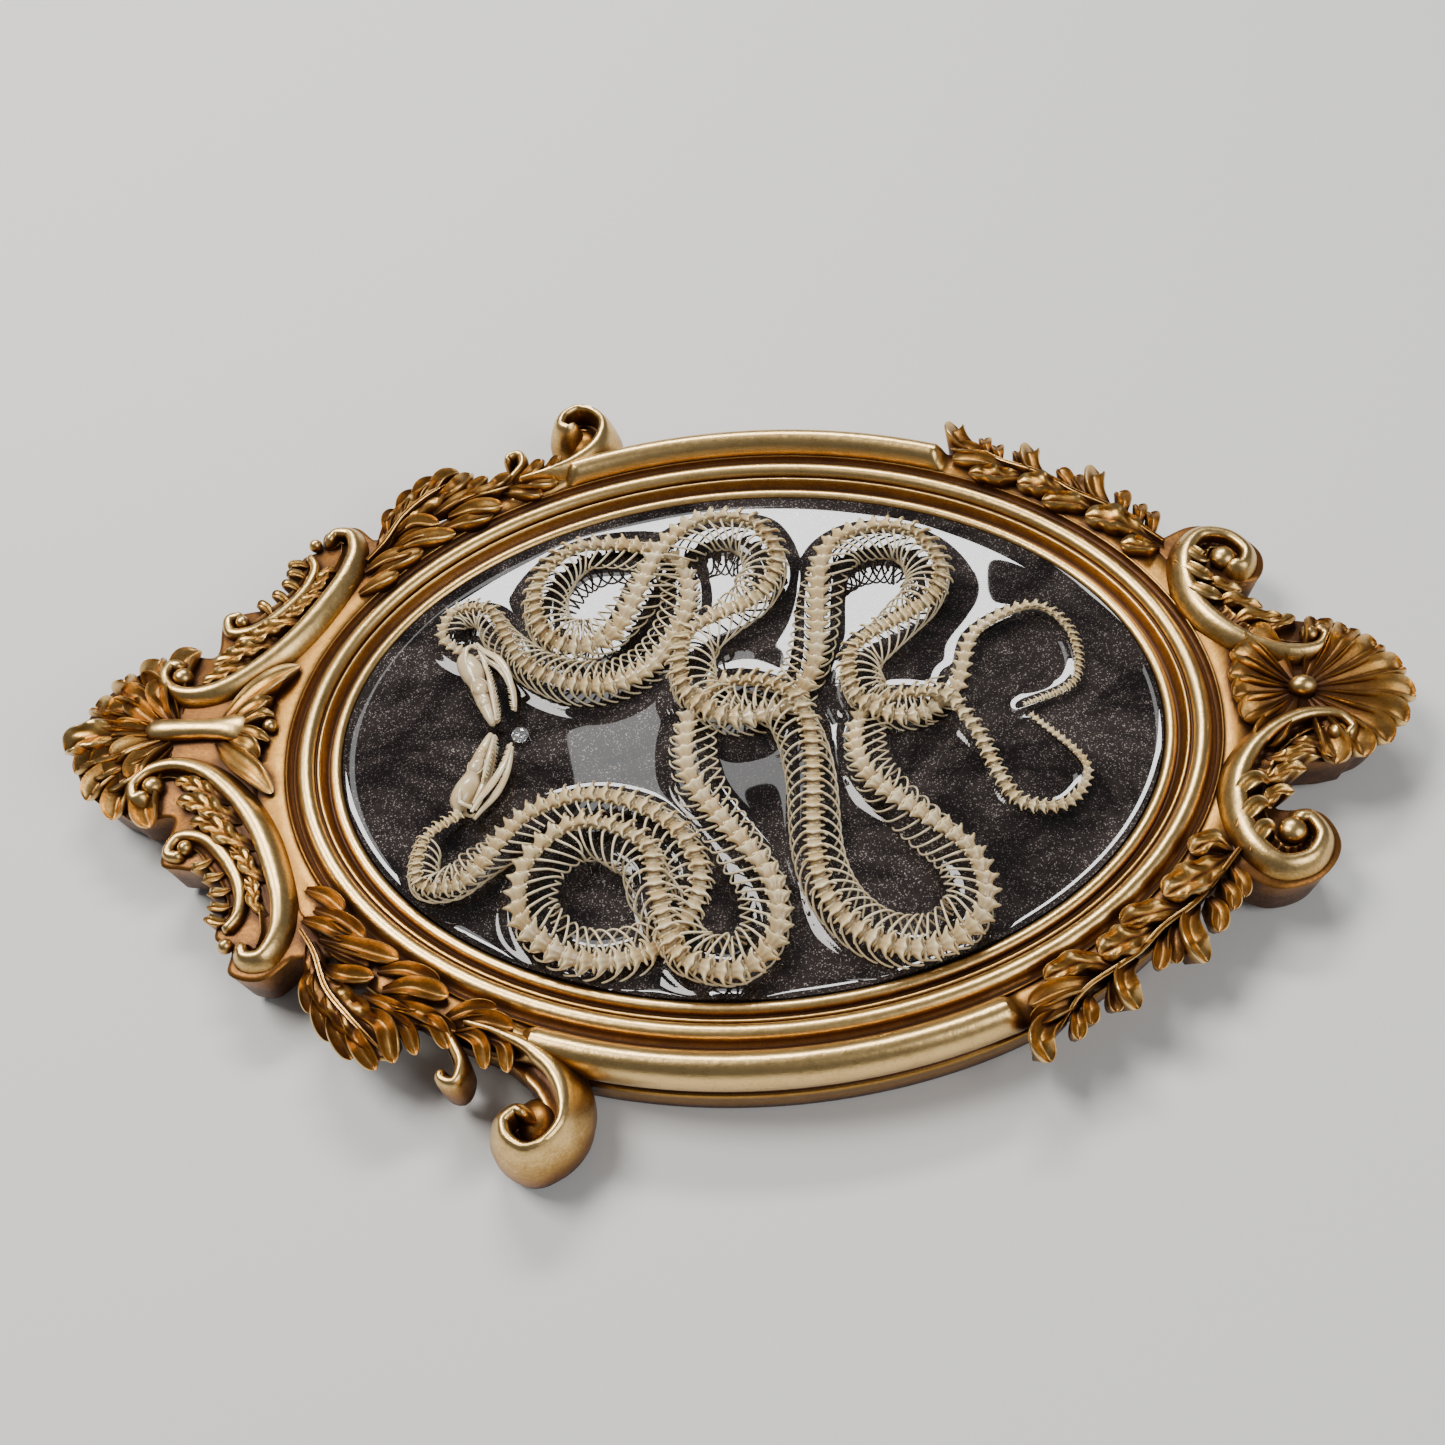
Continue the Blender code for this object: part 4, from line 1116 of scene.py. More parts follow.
@dataclass(frozen=True)
class Scroll:
    """A swept scroll: a rounded bar with a hollow channel and a thin rim on its inner side."""

    path: tuple
    bar: tuple                          # half widths of the bar along the path, in mm
    channel: tuple                      # widths of the channel along the path
    crest: float
    floor: float = 15.9
    rim: float = 1.0                    # height of the inner rim over the channel
    flutes: float = 0.0                 # distance between folds across the channel
    fold: float = 0.5
    sink: float = BACKING_FOOT
    lean: float = 0.0                   # how far the bar's top lies toward its inner side
    belly: float = 0.0                  # height at which its outer side is widest, if not 0
    spacing: float = 0.7

    def add_to(self, carving: Carving) -> None:
        """Sweep the scroll into a carving.

        Args:
            carving: The piece that it becomes part of.
        """
        line = smooth_curve(np.array(self.path, dtype=float), self.spacing)
        count = len(line)
        share = np.linspace(0, 1, count)
        slope = np.gradient(line, axis=0)
        length = np.linalg.norm(slope, axis=1)
        slope /= length[:, None]
        left = np.column_stack([-slope[:, 1], slope[:, 0]])
        heading = np.unwrap(np.arctan2(slope[:, 1], slope[:, 0]))
        radius = length / np.maximum(np.abs(np.gradient(heading)), 1e-3)
        bars = np.interp(share, np.linspace(0, 1, len(self.bar)), self.bar)
        channels = np.interp(share, np.linspace(0, 1, len(self.channel)), self.channel)
        to_end = np.minimum(share, 1 - share) * (count - 1) * self.spacing
        rounding = np.clip(to_end / bars / 1.1, 0.03, 1.0)
        ends = np.sqrt(rounding * (2 - rounding))
        rings, hollows = [], []
        for i in range(count):
            b = bars[i] * ends[i]
            c = min(channels[i], max(0.3, 0.92 * radius[i] - b)) * ends[i]
            top = self.floor + (self.crest - self.floor) * ends[i]
            middle = self.floor + 0.30 * (top - self.floor)
            wave = 0.0
            if self.flutes:
                wave = self.fold * math.sin(2 * math.pi * i * self.spacing / self.flutes)
            belly = self.belly or middle
            # (place across, height, hollow): the bar's outer foot, its top, then the channel; the
            # bar darkens down its sides as painted shade, and the channel and feet are dark,
            # partly patina and partly painted shade
            ring = [(-0.70 * b, self.sink, 1.0), (-0.93 * b, 0.5 * (self.sink + belly), 0.75)]
            for degrees in range(172, 7, -15):
                angle = math.radians(degrees)
                low = belly if degrees > 90 else middle
                ring.append((b * (math.cos(angle) + self.lean * math.sin(angle)),
                             low + (top - low) * math.sin(angle),
                             0.42 * (1 - math.sin(angle)) ** 1.3))
            rise = self.rim * min(1.0, c / 1.5)
            ring += [(b * 1.02 + 0.04 * c, self.floor + 0.15, 0.95),
                     (b + 0.22 * c, self.floor - 0.1 + 0.5 * wave, 0.72),
                     (b + 0.45 * c, self.floor + 0.05 + wave, 0.55 - 0.25 * wave),
                     (b + 0.68 * c, self.floor + 0.25 + wave, 0.50 - 0.25 * wave),
                     (b + 0.84 * c, self.floor + 0.35 + 0.7 * rise + 0.5 * wave, 0.35),
                     (b + 0.93 * c, self.floor + 0.3 + rise, 0.02),
                     (b + 1.02 * c, self.floor + 0.2 + rise, 0.05),
                     (b + 1.08 * c, self.floor + 0.5 * rise, 0.5),
                     (b + 1.05 * c, self.sink, 1.0)]
            part = np.array(ring)
            spot = line[i] + left[i] * part[:, :1]
            rings.append(np.column_stack([spot, part[:, 1]]))
            hollows.append(part[:, 2])
        carving.add_tube(np.array(rings), np.clip(np.array(hollows), 0, 1).ravel())


@dataclass(frozen=True)
class Leaf:
    """A carved leaf with lobes, veins, rolled rims and a curled tip."""

    spine: tuple                        # (x, y, z) points from the base to the tip, in mm
    width: float                        # greatest half width
    lobes: int = 0
    cup: float = 0.10                   # lift of the edges, as a share of the width
    rim: float = 0.16
    groove: float = 0.14
    notch: float = 0.34
    ripple: float = 0.13
    lead: float = 0.55                  # how far the edges point forward
    base: float = 0.35                  # half width at the base, as a share
    point: float = 0.55                 # 0.5 gives a round tip and 1 a sharp one
    shoulder: float = 0.45              # where along the spine the leaf is widest
    valley: float = 0.14                # width of the middle groove
    rings: int = 30
    sink: float = BACKING_FOOT
    foot_length: float = 0.86           # length and width of the leaf's foot under its top
    foot_width: float = 0.7

    def add_to(self, carving: Carving) -> None:
        """Shape the leaf into a carving.

        Args:
            carving: The piece that it becomes part of.
        """
        spine = np.array(self.spine, dtype=float)
        travelled = np.linalg.norm(np.diff(spine, axis=0), axis=1).sum()
        line = smooth_curve(spine, travelled / (self.rings - 1))
        count = len(line)
        slope = np.gradient(line, axis=0)
        slope /= np.linalg.norm(slope, axis=1)[:, None]
        level = slope.copy()
        level[:, 2] = 0
        level /= np.maximum(np.linalg.norm(level, axis=1)[:, None], 1e-6)
        left = np.column_stack([-level[:, 1], level[:, 0], np.zeros(count)])
        across = np.array([-1, -0.93, -0.82, -0.66, -0.46, -0.26, -0.11, 0,
                           0.11, 0.26, 0.46, 0.66, 0.82, 0.93, 1])
        size = np.abs(across)
        rings, hollows = [], []
        for i in range(count):
            share = i / (count - 1)
            width = self.width * (self.base + (1 - self.base) * math.sin(
                math.pi / 2 * min(1.0, share / self.shoulder)))
            if share > self.shoulder:
                fall = (share - self.shoulder) / (1 - self.shoulder)
                width *= max(0.02, 1 - fall ** 2) ** self.point
            wave = 0.5 + 0.5 * math.cos(2 * math.pi * self.lobes * share) if self.lobes else 0.0
            spread = width * (1 - self.notch * wave ** 2 * size ** 2)
            lateral = across * spread
            forward = self.lead * width * size ** 1.6
            vein = np.cos(2 * math.pi * self.lobes * (share - 0.1 * size)) if self.lobes else 0
            crest = np.exp(-((size - 0.84) / 0.13) ** 2)
            valley = np.exp(-(size / self.valley) ** 2)
            height = width * (self.cup * size ** 2 + self.rim * crest - self.groove * valley
                              - self.ripple * vein * np.sin(math.pi * size * 0.8))
            height -= 0.35 * width * np.clip(size - 0.9, 0, 1) * 4
            top = (line[i] + left[i] * lateral[:, None] + level[i] * forward[:, None])
            top[:, 2] += height
            over = np.maximum(top[:, 2] - CARVING_SHOULDER, 0.0)
            top[:, 2] += CARVING_REACH * np.tanh(over / CARVING_REACH) - over
            # dark in the valley, at the base and between the lobes, partly patina and partly
            # painted shade; light on rims and tip as a painted highlight; the foot underneath is
            # dark as painted shade
            dark = 0.20 + 0.42 * min(1.0, 0.12 / self.valley) * valley - 0.30 * crest
            dark = dark + 0.45 * max(0.0, 1 - share / 0.3)
            dark = dark + 0.22 * np.clip(vein, 0, 1) * np.sin(math.pi * size * 0.8)
            dark = dark - 0.22 * smooth_step(share, 0.6, 1.0)
            low = top[::-3].copy()
            foot = line[int(i * self.foot_length), :2]
            low[:, :2] = foot + (low[:, :2] - line[i, :2]) * self.foot_width
            low[:, 2] = self.sink
            rings.append(np.vstack([top, low]))
            hollows.append(np.r_[np.clip(dark, 0, 1), np.full(len(low), 1.0)])
        carving.add_tube(np.array(rings), np.array(hollows).ravel())


def ray_leaf(hub: tuple, degrees: float, reach: tuple, heights: tuple, bend: float = 0.0,
             **shape: object) -> Leaf:
    """Return a leaf that runs outwards from a hub.

    Args:
        hub: Plan of the hub in mm.
        degrees: Direction of the leaf.
        reach: Distances of base and tip from the hub.
        heights: Heights at base, shoulder and tip.
        bend: Degrees that the tip swings round.
        shape: Sizes of the leaf.

    Returns:
        The leaf.
    """
    root, top, tip = heights
    spine = []
    for share, height in ((0.0, root), (0.4, 0.4 * root + 0.6 * top), (0.78, top), (1.0, tip)):
        angle = math.radians(degrees + bend * share * share)
        span = reach[0] + (reach[1] - reach[0]) * share
        spine.append((hub[0] + span * math.cos(angle), hub[1] + span * math.sin(angle), height))
    return Leaf(tuple(spine), **shape)


def arc_edge(middle: float, radius: float, degrees: range) -> tuple:
    """Return points on an arc about a point of the long axis, in mm."""
    return tuple((middle + radius * math.cos(math.radians(v)),
                  radius * math.sin(math.radians(v))) for v in degrees)


@dataclass(frozen=True)
class Backing:
    """The block that carries carving beside the oval, with rounded upper edges."""

    edge: tuple                         # outline on one half, in mm
    angles: tuple                       # oval degrees along its inner side
    gap: float = 20.2
    # (height, how far the outline is drawn in), from below
    levels: tuple = ((3.0, 1.6), (9.0, 0.9), (13.6, 0.3), (15.1, 0.0), (15.6, 0.45), (15.75, 1.3))

    def outline(self) -> np.ndarray:
        """Work out the outline.

        Returns:
            Points in mm, closed.
        """
        first, last = (math.radians(v) for v in self.angles)
        inner = oval_point(np.linspace(last, first, 24), self.gap)
        edge = np.array(self.edge, dtype=float)
        outer = smooth_curve(np.vstack([edge[:0:-1] * (1, -1), edge]), 1.0)
        if np.linalg.norm(outer[-1] - inner[0]) > np.linalg.norm(outer[-1] - inner[-1]):
            inner = inner[::-1]
        return np.vstack([outer, inner])

    def build(self, name: str, gold: Material, node: str) -> None:
        """Make the block and dress it.

        Args:
            name: The object's name.
            gold: The gilding.
            node: The frame's node that it stands for.
        """
        carving = Carving(turn=END_TURN)
        outline = self.outline()
        along = np.roll(outline, -1, axis=0) - np.roll(outline, 1, axis=0)
        normal = np.column_stack([along[:, 1], -along[:, 0]])
        normal /= np.maximum(np.linalg.norm(normal, axis=1)[:, None], 1e-6)
        x, y = outline[:, 0], outline[:, 1]
        area = np.sum(x * np.roll(y, -1) - np.roll(x, -1) * y)
        if area < 0:
            normal = -normal
        rings, hollows = [], []
        for height, inset in self.levels:
            plan = outline - normal * inset
            rings.append(np.column_stack([plan, np.full(len(plan), height)]))
            # painted shade: the lower walls are darker than the rounded top
            hollows.append(np.full(len(plan), 0.95 if height < 12 else 0.70))
        carving.add_tube(np.array(rings), np.concatenate(hollows))
        carving.settle(name, gold, node)


@dataclass
class Crest:
    """The leafy end: palmette, bar with calyx, two C-scrolls and two small ones."""

    gold: Material
    scroll: Scroll = Scroll(CREST_SCROLL, (2.3, 2.5, 3.1, 3.3, 2.9, 2.0),
                            (0.6, 1.6, 3.6, 4.6, 3.0, 0.9), 19.7, lean=0.45, belly=14.0)
    small: Scroll = Scroll(CREST_SMALL_SCROLL, (1.4, 1.7, 1.9, 1.7, 1.3),
                           (0.5, 1.4, 2.4, 1.6, 0.5), 18.4, floor=15.9, rim=0.6)
    hub: tuple = (-143.0, 0.0)
    # (x, half width, half height) along the bar
    club: tuple = ((-151.4, 0.7, 0.6), (-150.8, 2.3, 1.9), (-149, 3.1, 2.7), (-146, 3.2, 2.9),
                   (-141, 2.9, 2.7), (-136, 2.8, 2.5), (-131.5, 3.3, 2.5), (-128, 4.2, 2.3),
                   (-126, 4.4, 1.7), (-125, 3.4, 0.9))
    # spine and half width of each petal on one side
    petals: tuple = (
        ((-131, 1.5, 16), (-126.5, 4.0, 18.4), (-122.8, 6.6, 18.9), (-120.8, 9.2, 17), 2.3),
        ((-133, 3, 15.8), (-127, 9, 17.6), (-120.5, 14.5, 18.4), (-115.5, 19.5, 16.6), 3.1),
        ((-130, 0.5, 16.2), (-125.5, 1.8, 18.6), (-121.5, 3.2, 18.7), (-119.3, 3.8, 16.6), 1.7))

    def build_scroll(self, half: Half) -> None:
        """Make the big scroll of one half with the leaves inside its bend.

        Args:
            half: The half of the oval.
        """
        carving = Carving(half, END_TURN)
        self.scroll.add_to(carving)
        carving.add_ball((-145.8, 16.8, 17.2), (2.7, 2.7, 2.5))
        carving.add_leaves((
            ((-121, 27.5, 16), (-127, 25.5, 18.6), (-133, 22.5, 18.4), (-138.5, 21, 17.3), 3.1),
            ((-125, 22, 16), (-131, 19.5, 18.2), (-136.5, 16.5, 17.9), (-140.5, 15.2, 17), 2.5),
            ((-116, 35, 16), (-122, 33, 18.4), (-128.5, 28.5, 18.4), (-134, 27.5, 17.2), 3.0),
            ((-111, 44, 16), (-115.5, 42, 18), (-119, 37.5, 17.8), (-124, 34.5, 17), 2.2),
            ((-110, 53, 16), (-113, 51, 17.8), (-114.5, 46.5, 17.6), (-117.5, 42.5, 17), 1.9)),
            lobes=4, cup=0.2)
        carving.settle(f"crest_c_scroll_{half.value}", self.gold, f"crest_scroll_{half.value}")

    def build_small_scroll(self, half: Half) -> None:
        """Make the small scroll of one half with its serrated leaves.

        Args:
            half: The half of the oval.
        """
        carving = Carving(half, END_TURN)
        self.small.add_to(carving)
        carving.add_ball((-133.6, 34.6, 17.0), (1.9, 1.9, 2.0))
        carving.add_ball((-118.2, 61.0, 17.0), (1.8, 1.8, 2.0))
        for x, y, turn in ((-122.5, 41.0, 128), (-120.0, 45.5, 140), (-119.0, 50.0, 152),
                           (-119.0, 54.2, 166), (-126.5, 37.2, 118)):
            ray_leaf((x, y), turn, (0.0, 5.4), (16.2, 17.8, 16.9), bend=25, width=1.35,
                     cup=0.3, rings=18).add_to(carving)
        carving.settle(f"crest_s_scroll_{half.value}", self.gold,
                       f"crest_small_scroll_{half.value}")

    def build_palmette(self) -> None:
        """Make the fan of overlapping lobed leaves, lowest row first."""
        carving = Carving(turn=END_TURN)
        for count, first, step, swing, reach, heights, shape in PALMETTE_ROWS:
            for number in range(count):
                degrees = first + number * step
                ray_leaf(self.hub, degrees, reach, heights, bend=swing * (degrees - 180), rim=0.34,
                         lead=0.1, **shape).add_to(carving)
        ray_leaf(self.hub, 182.0, (5.0, 28.8), (16.6, 19.6, 16.6), bend=8, width=4.4, lobes=3,
                 cup=0.42, rim=0.26, notch=0.2, shoulder=0.6, rings=44).add_to(carving)
        carving.settle("leafy_palmette", self.gold, "crest_palmette")

    def build_bar(self) -> None:
        """Make the club-shaped bar, its calyx and the petals beside it."""
        carving = Carving(turn=END_TURN)
        turns = circle(24)
        rings = [[(x, half * math.cos(t), 17.2 + rise * math.sin(t)) for t in turns]
                 for x, half, rise in self.club]
        shade = np.clip(0.35 - 0.45 * np.sin(turns), 0, 0.9)
        carving.add_tube(np.array(rings), np.tile(shade, len(rings)))
        for side in (1, -1):
            carving.add_leaves(tuple(
                (*((x, side * y, z) for x, y, z in petal[:-1]), petal[-1])
                for petal in self.petals), cup=0.35, rim=0.2, groove=0.05, base=0.3)
        carving.add_ball((-119.6, 0.3, 17.0), (1.9, 1.9, 1.9))
        carving.settle("crest_club_and_calyx", self.gold, "crest_bar")

    def build(self) -> None:
        """Make the whole crest."""
        Backing(arc_edge(-146.0, 24.0, range(180, 100, -12)) + CREST_EDGE, (140.0, 220.0)).build(
            "crest_block", self.gold, "crest_backing")
        self.build_palmette()
        self.build_bar()
        for half in Half:
            self.build_scroll(half)
            self.build_small_scroll(half)


@dataclass
class Foot:
    """The shell-shaped end: fluted shell with its knob and two big scrolls."""

    gold: Material
    scroll: Scroll = Scroll(FOOT_SCROLL, (2.4, 2.6, 3.2, 3.0, 2.5, 1.8),
                            (1.0, 2.6, 4.0, 4.4, 2.6, 1.0), 19.8, flutes=3.3, fold=0.45,
                            lean=0.5, belly=14.0)
    hub: tuple = (133.5, -1.0)

    def build_scroll(self, half: Half) -> None:
        """Make the big scroll of one half with the leaves inside its bend.

        Args:
            half: The half of the oval.
        """
        carving = Carving(half, END_TURN)
        self.scroll.add_to(carving)
        carving.add_ball((122.8, 40.6, 17.4), (3.3, 3.3, 2.7))
        carving.add_ball((138.6, 14.6, 17.3), (2.4, 2.4, 2.3))
        carving.add_leaves((
            ((118, 26, 16), (121.5, 26.5, 18.4), (125.5, 24.5, 18.4), (129.5, 24.0, 17), 2.2),
            ((121, 20, 16), (125, 21.2, 18.4), (129.5, 20, 18.4), (134, 20.5, 17), 2.2),
            ((127, 15.5, 16), (130, 17.3, 18.2), (133, 18.4, 18.2), (136.5, 21, 17), 1.9),
            ((116, 33, 16), (118.5, 32.5, 18), (121.5, 30.5, 18), (125.5, 30, 17), 2.0)),
            lobes=2, cup=0.2)
        carving.add_leaves((
            ((111.5, 33, 18.6), (113.6, 30, 20.0), (117, 27.5, 19.8), (120.5, 27.5, 17.5), 2.0),
            ((110.5, 40, 18.6), (113.6, 36.5, 20.0), (116.5, 34, 19.6), (119.5, 34, 17.5), 2.0),
            ((112.5, 46, 18.4), (114.8, 42.2, 19.8), (117, 40, 19.4), (119.0, 40.5, 17.5), 2.0)),
            cup=-0.1, rim=0.1, groove=0.03, sink=16.0)
        carving.settle(f"foot_c_scroll_{half.value}", self.gold, f"foot_scroll_{half.value}")

    def build_shell(self) -> None:
        """Make the shell's flutes and the rounded lobes toward the oval."""
        carving = Carving(turn=END_TURN)
        for step in range(9):
            degrees = -76.0 + step * 17.4
            reach = 26.5 - 4.5 * abs(math.sin(math.radians(degrees)))
            ray_leaf(self.hub, degrees, (3.5, reach), (16.8, 18.9, 16.8), bend=0.08 * degrees,
                     width=3.5, cup=0.12, rim=0.42, groove=0.48, valley=0.5, base=0.14, lead=0.05,
                     point=0.42, shoulder=0.84, rings=36).add_to(carving)
        for degrees, reach in ((116, 21.0), (138, 18.5), (160, 17.0), (184, 16.5), (208, 17.5),
                               (232, 20.5)):
            ray_leaf(self.hub, degrees, (2.5, reach), (16.4, 18.6, 16.9), width=3.7, cup=0.15,
                     rim=0.42, groove=0.42, valley=0.45, base=0.16, lead=0.1, point=0.45,
                     shoulder=0.78).add_to(carving)
        carving.settle("fluted_shell", self.gold, "foot_shell")

    def build_knob(self) -> None:
        """Make the oval knob in the shell's hub."""
        carving = Carving(turn=END_TURN)
        carving.add_ball((133.6, -1.0, 17.6), (3.4, 2.7, 2.8))
        carving.settle("shell_boss", self.gold, "foot_knob")

    def build(self) -> None:
        """Make the whole foot."""
        Backing(arc_edge(137.0, 19.5, range(0, 75, 12)) + FOOT_EDGE, (-30.0, 30.0)).build(
            "foot_block", self.gold, "foot_backing")
        self.build_shell()
        self.build_knob()
        for half in Half:
            self.build_scroll(half)


@dataclass
class SideVolute:
    """The big curl that stands out of one long side."""

    gold: Material
    half: Half
    scroll: Scroll = Scroll(SIDE_SCROLL, (0.9, 1.4, 2.5, 3.5, 3.6, 3.2, 2.5, 2.1, 2.5, 2.8, 2.6,
                                          1.6),
                            (0.3, 1.4, 3.0, 3.6, 3.8, 3.6, 3.0, 2.6, 2.0, 1.5, 1.0, 0.5), 20.3,
                            floor=13.0, rim=0.0, sink=3.0, lean=0.7, belly=9.0)
    stem: Scroll = Scroll(((-66, 77), (-57, 80), (-50.5, 83.5), (-44, 88)), (2.4, 3.0, 3.0, 2.2),
                          (0.4,), 16.4, floor=12.0, rim=0.0, sink=3.0)

    def build(self) -> None:
        """Make the curl and the block under it."""
        curl = Carving(self.half)
        self.scroll.add_to(curl)
        curl.settle(f"side_curl_{self.half.value}", self.gold, f"volute_{self.half.value}")
        block = Carving(self.half)
        # painted shade: the block under the curl is darkened
        block.add_ball((-45.5, 101.5, 8.6), (6.0, 6.6, 6.2), 0.55)
        self.stem.add_to(block)
        block.settle(f"side_block_{self.half.value}", self.gold,
                     f"volute_backing_{self.half.value}")


# Leaves on the moulding's apron: points as oval degrees and offset, half width, lobes, cup and
# the height of the leaf's highest part.
GARLAND_LEAVES = (
    (((26.5, 21.5), (27.2, 17.0), (30.0, 14.0)), 2.9, 2, 0.1, 18.6),
    (((27.8, 21.6), (33.0, 18.4), (37.4, 15.4)), 4.3, 3, 0.1, 19.0),
    (((37.2, 19.7), (40.5, 16.3), (44.2, 13.4)), 3.3, 2, 0.1, 18.6),
    (((40.8, 19.6), (45.0, 17.6), (49.0, 15.8)), 3.9, 3, 0.1, 19.0),
    (((48.5, 20.2), (51.5, 15.6), (56.2, 14.2)), 3.0, 3, 0.15, 18.6),
    (((51.0, 20.8), (55.2, 18.6), (59.4, 17.8)), 2.6, 0, 0.3, 18.8),
    (((54.0, 22.1), (57.2, 21.6), (60.2, 21.4)), 2.2, 0, 0.3, 18.6),
    (((28.5, 22.6), (30.2, 26.4), (31.5, 28.6)), 1.9, 0, 0.3, 17.8),
    (((31.0, 22.6), (32.2, 26.0), (33.5, 28.4)), 1.9, 0, 0.3, 17.8),
    (((34.0, 22.6), (35.0, 26.2), (36.8, 28.8)), 2.1, 0, 0.3, 17.8),
    (((35.6, 21.6), (38.6, 23.4), (40.4, 27.4), (40.4, 31.4)), 2.8, 0, 0.35, 19.6),
    (((38.8, 21.0), (41.2, 23.6), (43.0, 27.2)), 2.0, 0, 0.3, 17.8),
    (((41.5, 20.6), (43.0, 23.2), (45.2, 26.0)), 2.0, 0, 0.3, 17.8),
    (((45.8, 20.8), (48.4, 22.4), (49.8, 26.0), (49.6, 29.8)), 2.7, 0, 0.35, 19.6),
    (((49.5, 21.4), (50.7, 24.6), (51.7, 27.8)), 1.9, 0, 0.3, 17.8),
    (((53.0, 22.0), (54.0, 24.7), (54.7, 27.4)), 1.9, 0, 0.3, 17.8),
    (((55.0, 22.8), (56.0, 26.0), (56.7, 28.8)), 1.8, 0, 0.3, 17.8),
    (((56.0, 22.6), (59.0, 23.6), (60.6, 26.4), (60.4, 30.4)), 2.8, 0, 0.35, 19.4))
GARLAND_STEM = ((26.3, 22.7), (32.5, 21.8), (36.2, 21.4), (41.2, 20.1), (45.4, 20.9), (48.4, 20.8),
                (53.5, 21.0), (58.5, 25.9))
SPRAY_LEAVES = (
    (((145.0, 22.5), (140.0, 27.0), (134.5, 28.5), (127.4, 31.2)), 4.6, 6, 0.0, 18.2),
    (((142.0, 25.7), (140.5, 29.5), (138.2, 33.4)), 1.8, 0, 0.3, 18.4),
    (((139.5, 27.5), (137.0, 32.0), (134.2, 35.4)), 2.1, 0, 0.3, 18.6),
    (((137.0, 28.5), (134.0, 33.0), (131.0, 36.0)), 2.2, 0, 0.3, 18.8),
    (((134.5, 29.0), (131.0, 32.9), (128.2, 35.2)), 2.2, 0, 0.3, 18.8),
    (((134.5, 27.3), (129.8, 26.8), (127.0, 32.1)), 2.4, 0, 0.35, 19.4),
    (((132.5, 25.5), (128.0, 24.6), (125.4, 28.4)), 1.9, 0, 0.3, 18.2),
    (((152.0, 16.4), (148.8, 13.6), (145.4, 12.6)), 2.1, 0, 0.3, 18.0),
    (((148.6, 17.4), (144.4, 14.6), (140.0, 13.6)), 2.1, 0, 0.3, 18.2),
    (((148.4, 20.8), (145.0, 18.0), (141.2, 15.8)), 2.1, 0, 0.3, 18.4),
    (((144.6, 20.6), (139.8, 16.9), (134.3, 12.7)), 2.5, 0, 0.3, 18.8),
    (((143.2, 20.9), (140.0, 19.6), (136.8, 17.8)), 1.9, 0, 0.3, 18.2),
    (((141.4, 24.6), (138.2, 23.1), (135.2, 19.0)), 2.3, 0, 0.3, 18.8),
    (((135.6, 17.4), (132.2, 14.0), (127.8, 12.5)), 2.1, 0, 0.3, 18.4),
    (((133.4, 20.3), (130.0, 16.6), (125.8, 14.3)), 2.6, 0, 0.3, 19.0),
    (((132.5, 21.8), (130.0, 20.7), (127.2, 18.6)), 1.9, 0, 0.3, 18.4),
    (((125.0, 20.2), (122.5, 15.7), (119.6, 12.6)), 2.1, 0, 0.3, 18.4),
    (((123.6, 20.9), (120.5, 16.8), (116.8, 15.4)), 2.5, 0, 0.3, 18.8),
    (((135.0, 23.6), (131.0, 22.6), (126.6, 23.0)), 1.8, 0, 0.25, 18.6),
    (((132.2, 23.3), (128.2, 20.8), (122.6, 20.6)), 1.9, 0, 0.25, 19.0),
    (((128.0, 22.9), (125.0, 21.4), (122.4, 24.6)), 2.0, 0, 0.3, 19.0),
    (((123.6, 20.3), (119.3, 21.1), (117.6, 25.8)), 1.9, 0, 0.3, 19.0),
    (((120.2, 19.4), (116.7, 20.2), (115.2, 25.0)), 1.8, 0, 0.3, 18.8))
SPRAY_STEM = ((147.0, 22.5), (143.2, 23.6), (138.5, 27.4), (134.2, 29.2), (128.2, 31.6))
SPRAY_CURL = ((-66.5, 80.5), (-64.2, 84.5), (-61.8, 89.6), (-63.0, 93.6), (-66.0, 92.6),
              (-66.0, 90.2))
SPOON_LEAF = {"lead": 0.1, "point": 0.42, "shoulder": 0.7, "groove": 0.32, "valley": 0.45}
LOBED_LEAF = {"lead": 0.5, "point": 0.55, "shoulder": 0.55, "groove": 0.2, "valley": 0.14}
OUTER_LEAF = {"tip": 15.8, "sink": 10.0, "foot_length": 0.72}
INNER_LEAF = {"tip": 17.0, "sink": 14.0, "foot_length": 0.9}


def oval_leaf(leaf: tuple, root: float = 16.2, tip: float = 16.6, **shape: object) -> Leaf:
    """Return a leaf that lies on the moulding's apron.

    Args:
        leaf: Its points, half width, lobes, cup and greatest height.
        root: Height of its base in mm.
        tip: Height of its tip.
        shape: More sizes of the leaf.

    Returns:
        The leaf.
    """
    points, width, lobes, cup, top = leaf
    heights = np.interp(np.linspace(0, 1, len(points)), (0.0, 0.5, 0.8, 1.0),
                        (root, top - 0.3, top, tip))
    spine = [(*oval_point(math.radians(angle), offset), height)
             for (angle, offset), height in zip(points, heights)]
    return Leaf(tuple(spine), width, lobes=lobes, cup=cup, **shape)


